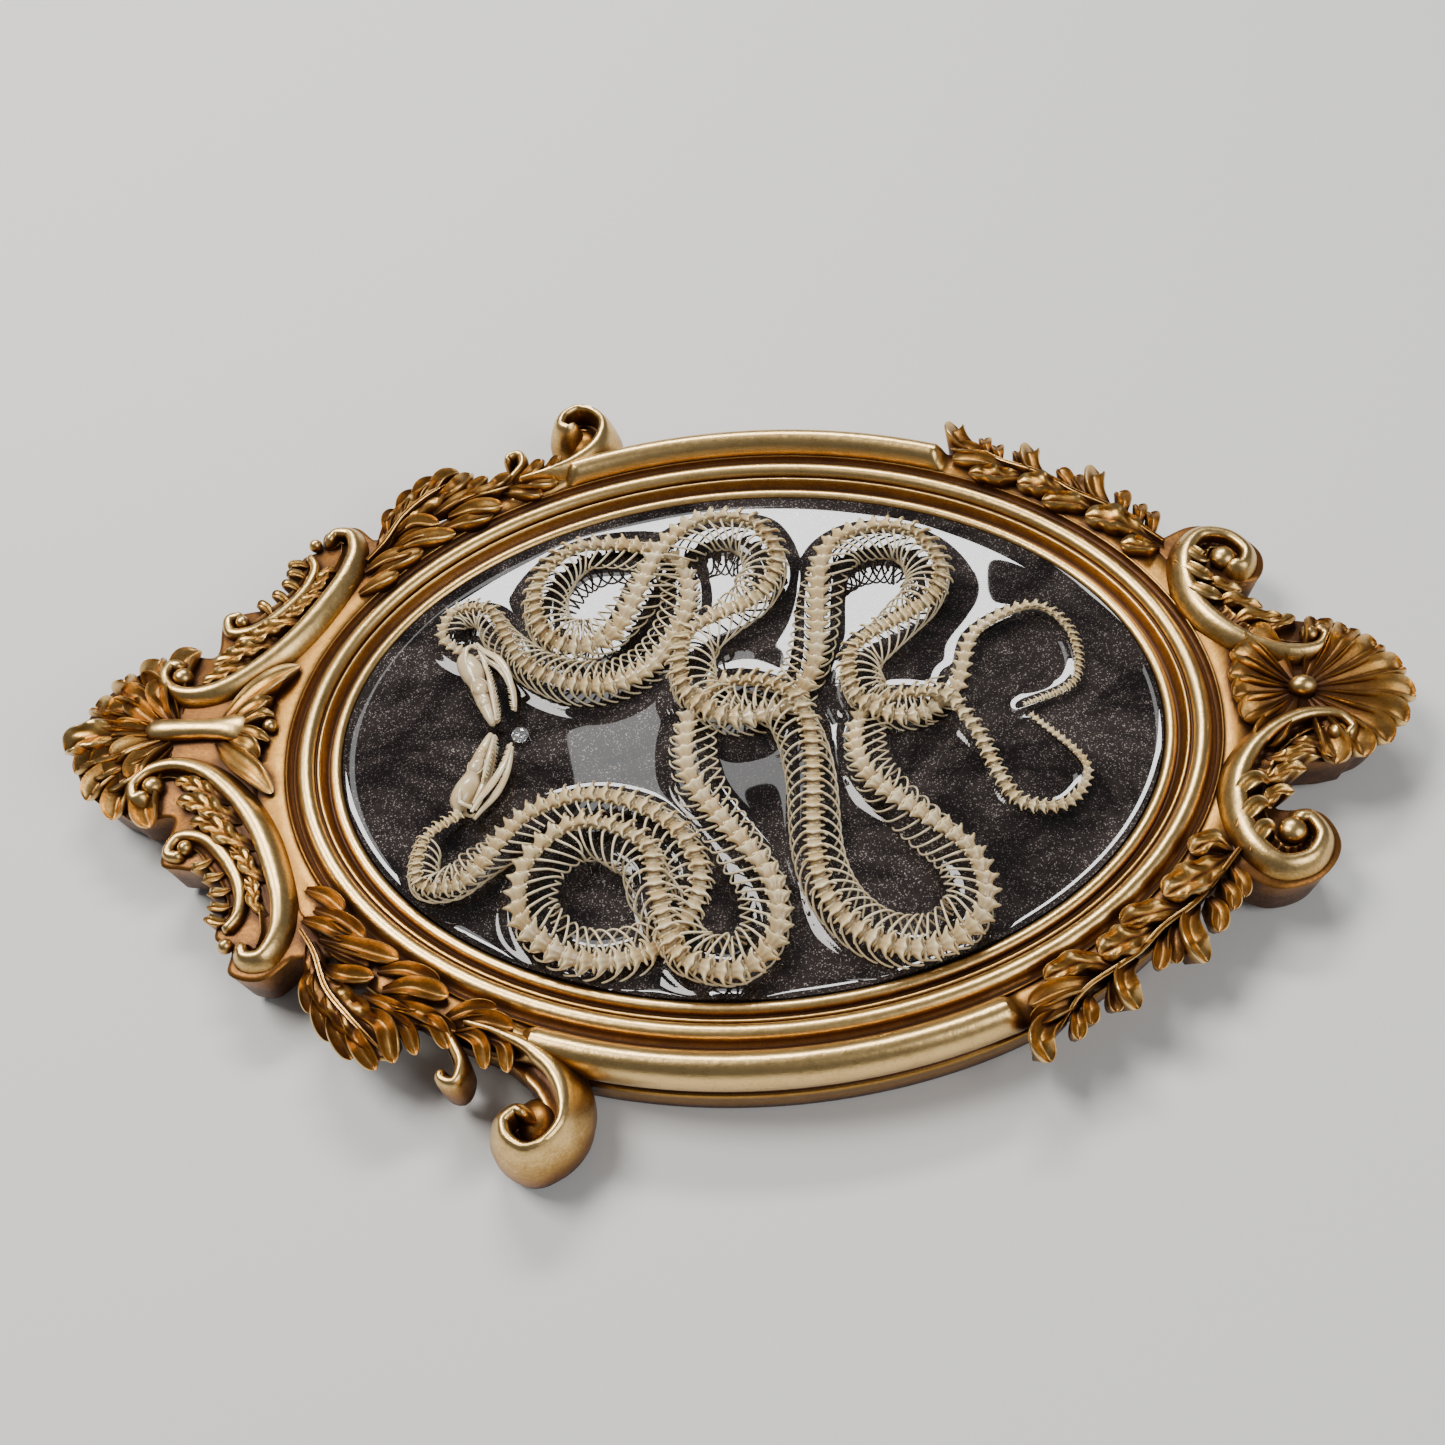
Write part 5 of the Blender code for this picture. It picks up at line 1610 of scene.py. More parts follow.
@dataclass
class LeafRow:
    """A stem with leaves on the moulding's apron, along one quarter of the oval."""

    gold: Material
    name: str
    title: str
    half: Half
    leaves: tuple
    stem: tuple
    curl: tuple = ()
    overhang: float = 26.0              # offset past which a leaf's foot is set lower

    def build(self) -> None:
        """Make the leaves, the stem and the small curl beside them, if there is one."""
        carving = Carving(self.half)
        for leaf in self.leaves:
            shape = SPOON_LEAF if leaf[2] == 0 else LOBED_LEAF
            place = OUTER_LEAF if leaf[0][-1][1] > self.overhang else INNER_LEAF
            oval_leaf(leaf, rim=0.32, notch=0.2, ripple=0.14, base=0.34, rings=28, **shape,
                      **place).add_to(carving)
        oval_leaf((self.stem, 0.6, 0, 0.0, 18.9), root=17.6, tip=17.0, rim=0.0, groove=-0.6,
                  base=0.8, rings=50).add_to(carving)
        if self.curl:
            Scroll(self.curl, (0.9, 1.3, 1.5, 1.6, 1.5, 1.2), (0.4,), 18.2, floor=14.0, rim=0.0,
                   sink=6.0).add_to(carving)
        carving.settle(f"{self.name}_{self.title}", self.gold, self.name)


# ---- the bodies' lines ----------------------------------------------------------------------
LOWER_LINE = (
    (-68.5, -25.5, 5), (-76, -33, 6.7), (-76, -45.5, 7.4), (-66.5, -47, 8), (-52, -28, 8.7),
    (-36, -23, 8.2), (-17.5, -31, 6.1), (-10.5, -45, 4.5), (-18.5, -62, 4.5), (-37.5, -67, 7.3),
    (-51.5, -56.5, 8.4), (-51.5, -41, 8.6), (-39.5, -30.5, 8.6), (-23, -37.5, 8.7),
    (-20.5, -51, 9.3), (-15, -68, 9.4), (-2.5, -72, 8.8), (6, -65, 8.7), (6.5, -50.5, 8.4),
    (-14, -17.5, 6.5), (-12.5, 5, 4.6), (-4, 10.5, 6), (9.5, 5.5, 9.2), (15.5, -4.5, 9.2),
    (17, -53, 8.6), (28.5, -66, 8.6), (41, -68, 8.6), (52.5, -59, 8.5), (52, -44.5, 8.3),
    (28.5, -21, 7.4), (27, -4, 4.6), (33, 2.5, 4.9), (48, 0.5, 9.2), (55, -8.5, 7.4),
    (63.5, -29.5, 4.6), (74.5, -30.5, 4), (81, -20.5, 3.5), (69, -3, 2.6))
UPPER_LINE = (
    (-72.5, 23, 5), (-78.5, 28.5, 6.4), (-76, 36.5, 7.2), (-67, 36.5, 8), (-55, 15.5, 8.4),
    (-37, 8.5, 7.6), (-23.5, 16.5, 4.7), (-14, 39, 4.2), (-18, 53.5, 4.3), (-43.5, 58.5, 6.6),
    (-53.5, 47.5, 8.4), (-53.5, 29, 8.6), (-44.5, 20.5, 8.6), (-34, 23.5, 8.7), (-21, 54, 9.4),
    (-10, 63.5, 9.3), (3, 62, 8.9), (10, 48.5, 8.8), (5.5, 35, 9.2), (-14, 24.5, 9.3),
    (-15.5, 6, 9.3), (-4.5, -3.5, 8.2), (11, 2, 4.5), (17.5, 11.5, 6.2), (22.5, 51, 8.5),
    (34, 57.5, 8.6), (46, 55, 8.6), (52.5, 41, 8.6), (49, 31, 8.6), (27, 16, 9), (27, 0.5, 9.3),
    (38.5, -5.5, 7.2), (51.5, 3, 4.4), (58.5, 22, 4.6), (75, 29.5, 4.7), (82.5, 21.5, 4.2),
    (81.5, 5, 3.7), (68, -1, 2.6))


@dataclass
class BodyLine:
    """The line of the neural spines, head to tail, with the body's size and lean along it."""

    points: tuple
    step: float = 0.5
    max_lean: float = 42.0              # degrees that the back leans out of a tight bend
    lean_radius: float = 11.0           # mm; a bend of this radius gives most of the lean
    lean_window: int = 61               # points over which the lean is evened out
    lean_span: tuple = (16.0, 42.0)     # mm from the head over which the lean grows
    neck_lean: float = 0.35             # share of the lean that is left in the neck
    neck_length: float = 70.0
    neck_scale: float = 0.57
    tail_length: float = 82.0
    tail_scale: float = 0.24
    tail_fullness: float = 0.75         # below 1 the tail keeps its width for longer
    tail_start: float = 0.85            # size that the trunk has come down to at the tail
    fullness_end: float = 2.4           # tail lengths from the tip where it has its full size
    column_depth: float = 3.4

    def __post_init__(self) -> None:
        """Read the line off its points and work out bend and lean."""
        self.line = smooth_curve(np.array(self.points), self.step)
        steps = np.linalg.norm(np.diff(self.line, axis=0), axis=1)
        self.places = np.r_[0, np.cumsum(steps)]
        self.length = self.places[-1]
        slopes = np.gradient(self.line, axis=0)
        self.tangents = slopes / np.linalg.norm(slopes, axis=1)[:, None]
        heading = np.unwrap(np.arctan2(slopes[:, 1], slopes[:, 0]))
        bend = np.gradient(heading, self.places)
        window = np.hanning(19)
        window /= window.sum()
        self.bend = np.convolve(np.pad(bend, 9, mode="edge"), window, mode="valid")
        grown = self.neck_lean + (1 - self.neck_lean) * smooth_step(self.places, *self.lean_span)
        roll = np.tanh(self.bend * self.lean_radius)
        window = np.hanning(self.lean_window)
        half = self.lean_window // 2
        roll = np.convolve(np.pad(roll, half, mode="edge"), window / window.sum(), mode="valid")
        self.lean = math.radians(self.max_lean) * grown * roll
        self.cores = np.array([self.core(place) for place in self.places])

    def scale(self, place: float) -> float:
        """Tell the body's size at a place.

        Args:
            place: Distance from the head end, in mm.

        Returns:
            Its share of the size at mid body.
        """
        grown = self.neck_scale + (1 - self.neck_scale) * smooth_step(place, 0, self.neck_length)
        left = (self.length - place) / self.tail_length
        thinned = (self.tail_scale + (self.tail_start - self.tail_scale)
                   * min(1.0, max(0.0, left)) ** self.tail_fullness)
        thinned += (1.0 - self.tail_start) * smooth_step(left, 1.0, self.fullness_end)
        return float(min(grown, thinned))

    def at(self, place: float) -> "tuple[np.ndarray, np.ndarray, np.ndarray, np.ndarray]":
        """Return the body's frame of reference at a place.

        Args:
            place: Distance from the head end, in mm.

        Returns:
            Position, direction towards the tail, left side and back.
        """
        position = np.array([np.interp(place, self.places, self.line[:, k]) for k in range(3)])
        tangent = np.array([np.interp(place, self.places, self.tangents[:, k])
                            for k in range(3)])
        tangent /= np.linalg.norm(tangent)
        level = np.array([-tangent[1], tangent[0], 0.0])
        level /= np.linalg.norm(level)
        up = np.cross(tangent, level)
        lean = float(np.interp(place, self.places, self.lean))
        back = math.cos(lean) * up - math.sin(lean) * level
        left = math.cos(lean) * level + math.sin(lean) * up
        return position, tangent, left, back

    def core(self, place: float) -> np.ndarray:
        """Return the middle of the vertebral column at a place."""
        position, _, _, back = self.at(place)
        return position - back * 0.5 * self.column_depth * self.scale(place)

    def lean_at(self, place: float) -> float:
        """Return the lean at a place, in radians, out of a bend to the left above 0."""
        return float(np.interp(place, self.places, self.lean))

    def bend_at(self, place: float) -> float:
        """Return the bend at a place, in radians per mm, to the left above 0."""
        return float(np.interp(place, self.places, self.bend))


# ---- backbones and ribs ---------------------------------------------------------------------
@dataclass
class VertebraForm:
    """One vertebra, head end at +X: swept wings over a waisted body.

    X is in shares of the distance between vertebrae; Y and Z are mm at mid body, with Z = 0
    on the back's ridge.
    """

    # (x at the ridge, x at the edge, half width, height at the ridge, drop to the edge,
    #  how far the rear edge is scooped out between ridge and tip, thickness)
    roof: tuple = ((0.60, 0.56, 1.00, -1.70, 0.30, 0.0, 0.3),
                   (0.48, 0.48, 1.80, -1.45, 0.50, 0.0, 0.9),
                   (0.32, 0.31, 1.78, -1.22, 0.55, 0.0, 1.1),
                   (0.18, 0.17, 1.62, -1.00, 0.55, 0.0, 1.2),
                   (0.04, 0.02, 1.66, -0.74, 0.55, 0.0, 1.2),
                   (-0.08, -0.12, 2.04, -0.44, 0.56, 0.01, 1.25),
                   (-0.19, -0.25, 2.64, -0.12, 0.62, 0.04, 1.3),
                   (-0.31, -0.38, 3.12, 0.12, 0.74, 0.08, 1.3),
                   (-0.44, -0.50, 3.32, 0.24, 0.84, 0.14, 1.15),
                   (-0.53, -0.57, 3.24, 0.00, 0.84, 0.18, 0.5))
    across: tuple = (0.0, 0.1, 0.21, 0.34, 0.48, 0.62, 0.76, 0.89, 1.0)
    crest: float = 0.22                 # height of the neural spine over the roof
    scoop: float = 0.12
    tip_lift: float = 0.46
    shade: tuple = (0.8, 0.74, 0.68, 0.60, 0.50, 0.34, 0.14, 0.02, 0.0, 0.3)
    # (x, half width, half height) of the body under the roof, and its middle's height
    barrel: tuple = ((0.52, 1.4, 1.2), (0.34, 1.5, 1.25), (0.1, 1.25, 1.15), (-0.2, 1.4, 1.3),
                     (-0.42, 1.8, 1.45), (-0.56, 1.4, 1.1))
    barrel_height: float = -2.3
    bar_place: float = 0.34             # the front processes, behind the next roof's tips
    bar_reach: float = 2.7
    bar_radius: float = 0.42

    def roof_ring(self, station: tuple) -> np.ndarray:
        """Shape one station of the roof.

        Args:
            station: One row of the roof's table.

        Returns:
            Points of the closed ring.
        """
        ridge, edge, half, height, drop, scallop, thickness = station
        grown = min(1.0, max(0.12, 0.45 - ridge))
        top = []
        for share in self.across:
            crest = self.crest * grown ** 2 * math.exp(-(share / 0.2) ** 2)
            scoop = self.scoop * grown * math.exp(-((share - 0.30) / 0.16) ** 2)
            tip = self.tip_lift * grown * math.exp(-((share - 0.74) / 0.22) ** 2)
            x = ridge + (edge - ridge) * share + scallop * math.sin(math.pi * share) ** 1.3
            top.append((x, half * share, height + crest - scoop + tip - drop * share ** 2.0))
        under = [(x, y * 0.97, z - thickness * (1.0 - 0.45 * y / half))
                 for x, y, z in top[::-1][1:]]
        right = top + under
        left = [(x, -y, z) for x, y, z in right[::-1][1:-1]]
        return np.array(right + left)

    def build(self, material: Material) -> Object:
        """Make the vertebra, to be copied along a body.

        Args:
            material: The bone.

        Returns:
            The object.
        """
        builder = MeshBuilder()
        rings = np.array([self.roof_ring(station) for station in self.roof])
        builder.add_tube(rings / MM, np.repeat(self.shade, rings.shape[1]))
        turns = circle(10)
        body = [[(x, half * math.cos(t), self.barrel_height + rise * math.sin(t)) for t in turns]
                for x, half, rise in self.barrel]
        builder.add_tube(np.array(body) / MM, 0.12)
        sides = circle(8)
        bar = []
        for share in (-1.0, -0.86, -0.5, 0.0, 0.5, 0.86, 1.0):
            radius = self.bar_radius * math.sqrt(max(0.06, 1.0 - abs(share) ** 4))
            x = self.bar_place + 0.07 * abs(share)
            bar.append([(x + 0.32 * radius * math.cos(t), self.bar_reach * share,
                         -1.7 - 0.1 * share * share + radius * math.sin(t)) for t in sides])
        builder.add_tube(np.array(bar) / MM, 0.05)
        return builder.build_object("vertebra_form", material, 75.0)


@dataclass
class Skeleton:
    """A backbone with its ribs along one body line."""

    name: str
    line: BodyLine
    nodes: tuple
    seed: int
    neck_pitch: float = 2.3             # mm between vertebrae, along the body
    front_pitch: float = 2.8
    mid_pitch: float = 3.75
    rear_pitch: float = 3.2
    tail_pitch: float = 1.5
    first_place: float = 1.0
    last_gap: float = 0.6               # mm from the last vertebra's place to the tail's tip
    first_rib: float = 9.0
    cage_half_width: float = 6.0
    cage_half_height: float = 4.4
    room_share: float = 0.56            # half height of the cage that fits over the resin
    cage_top: float = 2.0
    outer_tuck: float = 0.48            # how much narrower the cage is outside a tight bend
    inner_reach: float = 0.55           # how much wider it is inside the bend
    inner_sweep: float = 0.30           # how much more the ribs sweep back inside a bend
    outer_sweep: float = 0.75           # and outside it
    rib_start: float = 18.0             # degrees round the cage
    rib_end: float = 160.0
    rib_sweep: float = 9.0              # mm that a rib runs towards the tail
    rib_radius: float = 0.32
    least_radius: float = 0.25          # half of the thinnest bone that a model may have
    rib_steps: int = 15
    resin_dip: float = 0.5              # mm that a rib runs on under the resin
    edge_margin: float = 0.9
    own_reach: float = 17.0             # mm along the body within which it ignores itself
    clearance: float = 2.3              # least distance from a rib to another column's middle
    rib_head: tuple = (1.5, 2.35)       # mm to the side of the ridge and below it
    bend_reach: float = 0.9             # share of a bend's radius that a cage can fill inside it
    bend_gain: float = 1.25             # how soon a leaning back counts as a tight bend
    jitter: float = 0.02                # spread of the vertebrae's turn and size
    tint_spread: tuple = (0.35, 0.22)   # middle and spread of the vertebrae's tint
    rib_tint_spread: tuple = (0.12, 0.1)
    places: list = field(default_factory=list, init=False)

    def __post_init__(self) -> None:
        """Work out where the vertebrae sit."""
        place = self.first_place
        while place < self.line.length - self.last_gap:
            self.places.append(place)
            place += self.pitch(place)

    def pitch(self, place: float) -> float:
        """Tell the distance between vertebrae at a place.

        Args:
            place: Distance from the head end, in mm.

        Returns:
            The distance in mm.
        """
        length = self.line.length
        stations = (0.0, 45.0, 110.0, 0.5 * length, length - self.line.tail_length, length)
        values = (self.neck_pitch, self.front_pitch, self.mid_pitch, self.mid_pitch,
                  self.rear_pitch, self.tail_pitch)
        return float(np.interp(place, stations, values))

    def build_points(self) -> Mesh:
        """Make a mesh with one point for each vertebra and its turn, size and tint.

        Returns:
            The mesh.
        """
        random = np.random.default_rng(self.seed)
        points, turns, sizes = [], [], []
        for place in self.places:
            position, tangent, left, back = self.line.at(place)
            scale = self.line.scale(place)
            jitter = random.normal(0.0, self.jitter, 2)
            left = left + back * jitter[0] + tangent * jitter[1]
            left -= tangent * float(left @ tangent)
            left /= np.linalg.norm(left)
            axes = Matrix((Vector(-tangent), Vector(-left), Vector(np.cross(tangent, left))))
            points.append((position + np.array([0, 0, RESIN_LEVEL])) * MM)
            turns.append(tuple(axes.transposed().to_quaternion()))
            spread = scale * (1.0 + random.normal(0.0, self.jitter))
            sizes.append((self.pitch(place) * MM, spread * MM, spread * MM))
        mesh = bpy.data.meshes.new(f"{self.name}_points")
        mesh.from_pydata([tuple(p) for p in points], [], [])
        tints = np.clip(random.normal(*self.tint_spread, len(points)), 0, 1)
        add_layer(mesh, "turn", "QUATERNION", turns)
        add_layer(mesh, "size", "FLOAT_VECTOR", sizes)
        add_layer(mesh, "tint", "FLOAT", tints)
        return mesh

    def rib_line(self, place: float, side: int, others: "list[np.ndarray]") -> np.ndarray:
        """Return the points of one rib.

        Args:
            place: Where its vertebra sits.
            side: 1 for the left rib and -1 for the right one.
            others: Middles of the columns that the rib keeps clear of.

        Returns:
            Points in mm over the resin, from the rib's head down.
        """
        line = self.line
        scale = line.scale(place)
        bend = line.bend_at(place)
        lean = line.lean_at(place)
        inside = side * lean > 0
        limit = self.bend_reach / max(abs(bend), 1e-6)
        bent = min(1.0, self.bend_gain * abs(lean) / math.radians(line.max_lean))
        sweep = self.rib_sweep * (1.0 + (self.inner_sweep if inside else self.outer_sweep) * bent)
        position, _, left, back = line.at(place)
        points = [position + left * side * self.rib_head[0] * scale
                  - back * self.rib_head[1] * scale]
        angles = np.radians(np.linspace(self.rib_start, self.rib_end, self.rib_steps))
        for angle in angles:
            share = (angle - angles[0]) / (angles[-1] - angles[0])
            there = min(place + sweep * scale * share ** 1.2, line.length)
            position, _, left, back = line.at(there)
            room = max(1.0, position[2] / max(0.5, back[2]) - self.cage_top * scale)
            half_height = min(self.cage_half_height * scale, room * self.room_share)
            across = self.cage_half_width * scale * math.sin(angle) ** 0.9
            if inside:
                across = limit * math.tanh((1.0 + self.inner_reach * bent) * across / limit)
            else:
                across *= 1.0 - self.outer_tuck * bent
            down = self.cage_top * scale + half_height * (1 - math.cos(angle))
            point = position + left * side * across - back * down
            oval = (point[0] / (SIGHT_HALF_LENGTH - self.edge_margin)) ** 2
            oval += (point[1] / (SIGHT_HALF_WIDTH - self.edge_margin)) ** 2
            if oval > 1:
                point[:2] /= math.sqrt(oval)
            gap = min(np.linalg.norm(cores - point, axis=1).min() for cores in others)
            if len(points) > 4 and gap < self.clearance:
                break
            points.append(point)
            if point[2] < -self.resin_dip:
                break
        return np.array(points)

    def build_rib_lines(self, rival: "Skeleton") -> Mesh:
        """Return a mesh of edges, one chain for each rib, with radius and tint.

        Args:
            rival: The other skeleton, whose column the ribs keep clear of.

        Returns:
            The mesh.
        """
        random = np.random.default_rng(self.seed + 1)
        line = self.line
        points, edges, radii, tints = [], [], [], []
        last = line.length - line.tail_length
        for place in self.places:
            if place < self.first_rib or place > last:
                continue
            far = np.abs(line.places - place) > self.own_reach
            others = [rival.line.cores, line.cores[far]]
            for side in (1, -1):
                chain = self.rib_line(place, side, others)
                if len(chain) < 4:
                    continue
                first = len(points)
                count = len(chain)
                tail_share = float(smooth_step(last - place, 0.0, 25.0)) * 0.35 + 0.65
                thick = self.rib_radius * (0.25 + 0.75 * line.scale(place)) * tail_share
                tint = float(np.clip(random.normal(*self.rib_tint_spread), 0, 1))
                for number, point in enumerate(chain):
                    share = number / (count - 1)
                    points.append(point)
                    taper = 1.2 - 0.3 * min(1.0, share * 4) - 0.12 * share
                    radii.append(max(self.least_radius, thick * taper))
                    tints.append(tint)
                edges += [(first + k, first + k + 1) for k in range(count - 1)]
        mesh = bpy.data.meshes.new(f"{self.name}_rib_lines")
        lifted = (np.array(points) + np.array([0, 0, RESIN_LEVEL])) * MM
        mesh.from_pydata(lifted.tolist(), edges, [])
        add_layer(mesh, "thick", "FLOAT", np.array(radii) * MM)
        add_layer(mesh, "tint", "FLOAT", tints)
        return mesh

    def build(self, rival: "Skeleton", bone: Material, shaded_rib_bone: Material,
              form: Object, trees: "BoneTrees") -> None:
        """Make backbone and ribs and dress them.

        Args:
            rival: The other skeleton.
            bone: Finish of the vertebrae.
            shaded_rib_bone: Finish of the ribs.
            form: The vertebra that is copied.
            trees: The node trees that grow them.
        """
        column = trees.vertebrae.run(f"{self.name}_backbone", self.build_points(),
                                     {"Vertebra": form, "Finish": bone})
        settle(column, "bone", *self.nodes)
        ribs = trees.ribs.run(f"{self.name}_ribs", self.build_rib_lines(rival),
                              {"Sides": 7, "Finish": shaded_rib_bone})
        settle(ribs, "bone")


class BoneTrees:
    """The Geometry Nodes trees that set vertebrae on points and turn lines into ribs."""

    def __init__(self) -> None:
        """Build both trees."""
        self.vertebrae = self.build_vertebrae()
        self.ribs = self.build_ribs()

    def build_vertebrae(self) -> GeometryTree:
        """Make the tree that copies one vertebra to each point.

        Returns:
            The tree.
        """
        tree = GeometryTree("set_vertebrae", {"Vertebra": "NodeSocketObject",
                                              "Finish": "NodeSocketMaterial"})
        form = tree.add("GeometryNodeObjectInfo", Object=tree.entry.outputs["Vertebra"])
        cloud = tree.add("GeometryNodeMeshToPoints", Mesh=tree.entry.outputs["Geometry"])
        copies = tree.add("GeometryNodeInstanceOnPoints", Points=cloud.outputs["Points"],
                          Instance=form.outputs["Geometry"],
                          Rotation=tree.attribute("turn", "QUATERNION"),
                          Scale=tree.attribute("size", "FLOAT_VECTOR"))
        tree.finish(copies.outputs["Instances"], tree.entry.outputs["Finish"])
        return tree

    def build_ribs(self) -> GeometryTree:
        """Make the tree that sweeps a round section along each chain of edges.

        Returns:
            The tree.
        """
        tree = GeometryTree("sweep_ribs", {"Sides": "NodeSocketInt",
                                           "Finish": "NodeSocketMaterial"})
        chains = tree.add("GeometryNodeMeshToCurve", Mesh=tree.entry.outputs["Geometry"])
        profile = tree.add("GeometryNodeCurvePrimitiveCircle", Radius=1.0,
                           Resolution=tree.entry.outputs["Sides"])
        swept = tree.add("GeometryNodeCurveToMesh", Curve=chains.outputs["Curve"],
                         Profile_Curve=profile.outputs["Curve"],
                         Scale=tree.attribute("thick", "FLOAT"), Fill_Caps=True)
        tree.finish(swept.outputs["Mesh"], tree.entry.outputs["Finish"])
        return tree


# ---- skulls ---------------------------------------------------------------------------------
@dataclass(frozen=True)
class SkullPlace:
    """Where a skull lies: on its side, its roof towards -X and its mouth towards +X."""

    back: tuple                         # plan of the occiput, in mm
    degrees: float                      # direction of the snout from +X
    height: float = 3.9                 # mm from the resin to the skull's middle plane
    stretch: float = 1.0

    def point(self, ahead: float, down: float, lift: float) -> np.ndarray:
        """Return a point on the skull.

        Args:
            ahead: mm ahead of the occiput.
            down: mm towards the mouth.
            lift: mm up off the middle plane.

        Returns:
            The point in mm.
        """
        angle = math.radians(self.degrees)
        ahead *= self.stretch
        forward = np.array([math.cos(angle), math.sin(angle)])
        across = np.array([-forward[1], forward[0]])
        mouth = across if across[0] > 0 else -across
        plan = np.array(self.back) + forward * ahead + mouth * down
        return np.array([plan[0], plan[1], RESIN_LEVEL + self.height + lift])


@dataclass
class Skull:
    """One skull with its jaws."""

    place: SkullPlace
    name: str
    bone: Material
    nodes: dict                         # the frame's nodes by the pieces that stand for them
    bow: float = 0.0                    # how much wider the jaw hangs open, in mm
    hinge: tuple = (0.4, 3.4)
    # along the axis: share of 23 mm, half depth, half width, and shift towards the mouth
    stations: tuple = ((-0.03, 0.4, 0.5, -0.5), (-0.015, 0.95, 1.05, -0.5),
                       (0.02, 1.25, 1.4, -0.6), (0.05, 1.9, 2.0, -0.7), (0.10, 2.5, 2.6, -0.6),
                       (0.18, 2.9, 3.0, -0.35), (0.27, 2.95, 3.05, -0.1), (0.35, 2.6, 2.7, 0.0),
                       (0.41, 2.15, 2.2, 0.0), (0.47, 1.95, 1.9, 0.0), (0.55, 1.95, 1.85, 0.05),
                       (0.63, 1.95, 1.95, 0.1), (0.70, 1.85, 1.95, 0.15),
                       (0.78, 1.6, 1.75, 0.2), (0.86, 1.35, 1.55, 0.25), (0.93, 1.05, 1.3, 0.3),
                       (0.98, 0.75, 0.95, 0.3), (1.0, 0.3, 0.4, 0.3))
    # (share of the length where it ends, how hollow the braincase lies there)
    shades: tuple = ((0.04, 0.30), (0.30, 0.16), (0.40, 0.06), (0.68, 0.42), (1.1, 0.06))
    # orbit, and the two swellings of the snout: middle, radii and how hollow it lies; the orbit's
    # value is painted shade in the eye socket
    swellings: tuple = (((12.4, 0.3, 1.25), (2.7, 2.0, 1.5), 0.34),
                        ((16.6, 0.1, 1.35), (1.5, 1.2, 0.85), 0.14),
                        ((19.6, 0.5, 0.85), (1.7, 0.85, 0.7), 0.1))
    # (share of its length, radius in mm) along a tooth
    tooth: tuple = ((0.0, 0.27), (0.45, 0.2), (0.8, 0.11), (1.0, 0.03))
    tooth_root: float = 0.25            # mm that it starts off the middle of its bone
    tooth_curve: float = 0.35           # mm that its tip is bent back
    length: float = 23.0
    sides: int = 24

    def add(self, builder: MeshBuilder, rings: "list | np.ndarray",
            hollow: "np.ndarray | float") -> None:
        """Add a tube of rings.

        Args:
            builder: The mesh that it joins.
            rings: (ahead, down, lift) points, by ring and by place round the ring.
            hollow: One value for all, or one each.
        """
        placed = [[self.place.point(*spot) for spot in ring] for ring in rings]
        builder.add_tube(np.array(placed), hollow)

    def tube(self, builder: MeshBuilder, line: tuple, depths: tuple, widths: tuple,
             spacing: float = 0.5, hollow: float = 0.0, sides: int = 12) -> np.ndarray:
        """Add a bone of oval section along a line.

        Args:
            builder: The mesh that it joins.
            line: (ahead, down, lift) points.
            depths: Half depths towards the mouth, along the line.
            widths: Half widths up and down.
            spacing: Distance between its rings, in mm.
            hollow: Its hollow value.
            sides: Points round a ring.

        Returns:
            The line as it was read, in (ahead, down, lift).
        """
        course = smooth_curve(np.array(line, dtype=float), spacing)
        share = np.linspace(0, 1, len(course))
        depth = np.interp(share, np.linspace(0, 1, len(depths)), depths)
        width = np.interp(share, np.linspace(0, 1, len(widths)), widths)
        slope = np.gradient(course, axis=0)
        slope /= np.linalg.norm(slope, axis=1)[:, None]
        rings = []
        for spot, lead, d, w in zip(course, slope, depth, width):
            side = np.array([-lead[1], lead[0], 0.0])
            side /= np.linalg.norm(side)
            over = np.cross(lead, side)
            rings.append([spot + side * d * math.cos(t) + over * w * math.sin(t)
                          for t in circle(sides)])
        self.add(builder, rings, hollow)
        return course

    def pair(self, builder: MeshBuilder, line: "list | tuple", depths: tuple, widths: tuple,
             spacing: float = 0.5) -> "list[np.ndarray]":
        """Add a bone and its image on the other side of the middle plane.

        Args:
            builder: The mesh that they join.
            line: (ahead, down, lift) points of the first one.
            depths: Half depths towards the mouth, along the line.
            widths: Half widths up and down.
            spacing: Distance between the rings, in mm.

        Returns:
            Both lines as they were read.
        """
        return [self.tube(builder, tuple((ahead, down, lift * side) for ahead, down, lift in line),
                          depths, widths, spacing) for side in (1.0, -1.0)]

    def teeth(self, builder: MeshBuilder, course: np.ndarray, first: float, count: int,
              direction: tuple, length: float) -> None:
        """Add a row of teeth along a bone.

        Args:
            builder: The mesh that they join.
            course: The bone's line.
            first: Share of the line where the row starts.
            count: Number of teeth.
            direction: (ahead, down, lift) direction of a tooth.
            length: Length in mm.
        """
        lead = np.array(direction, dtype=float)
        for share in np.linspace(first, 0.985, count):
            root = course[round(share * (len(course) - 1))] + lead * self.tooth_root
            rings = []
            for part, radius in self.tooth:
                middle = root + lead * length * part - (self.tooth_curve * part ** 2, 0, 0)
                rings.append([middle + (radius * math.cos(t), 0, radius * math.sin(t))
                              for t in circle(7)])
            self.add(builder, rings, 0.0)

    def ball(self, builder: MeshBuilder, centre: tuple, radii: tuple, hollow: float) -> None:
        """Add a rounded swelling.

        Args:
            builder: The mesh that it joins.
            centre: (ahead, down, lift) of its middle.
            radii: Its radii along the same directions.
            hollow: Its hollow value.
        """
        self.add(builder, ball_rings(centre, radii, 85.0, 11, 16), hollow)

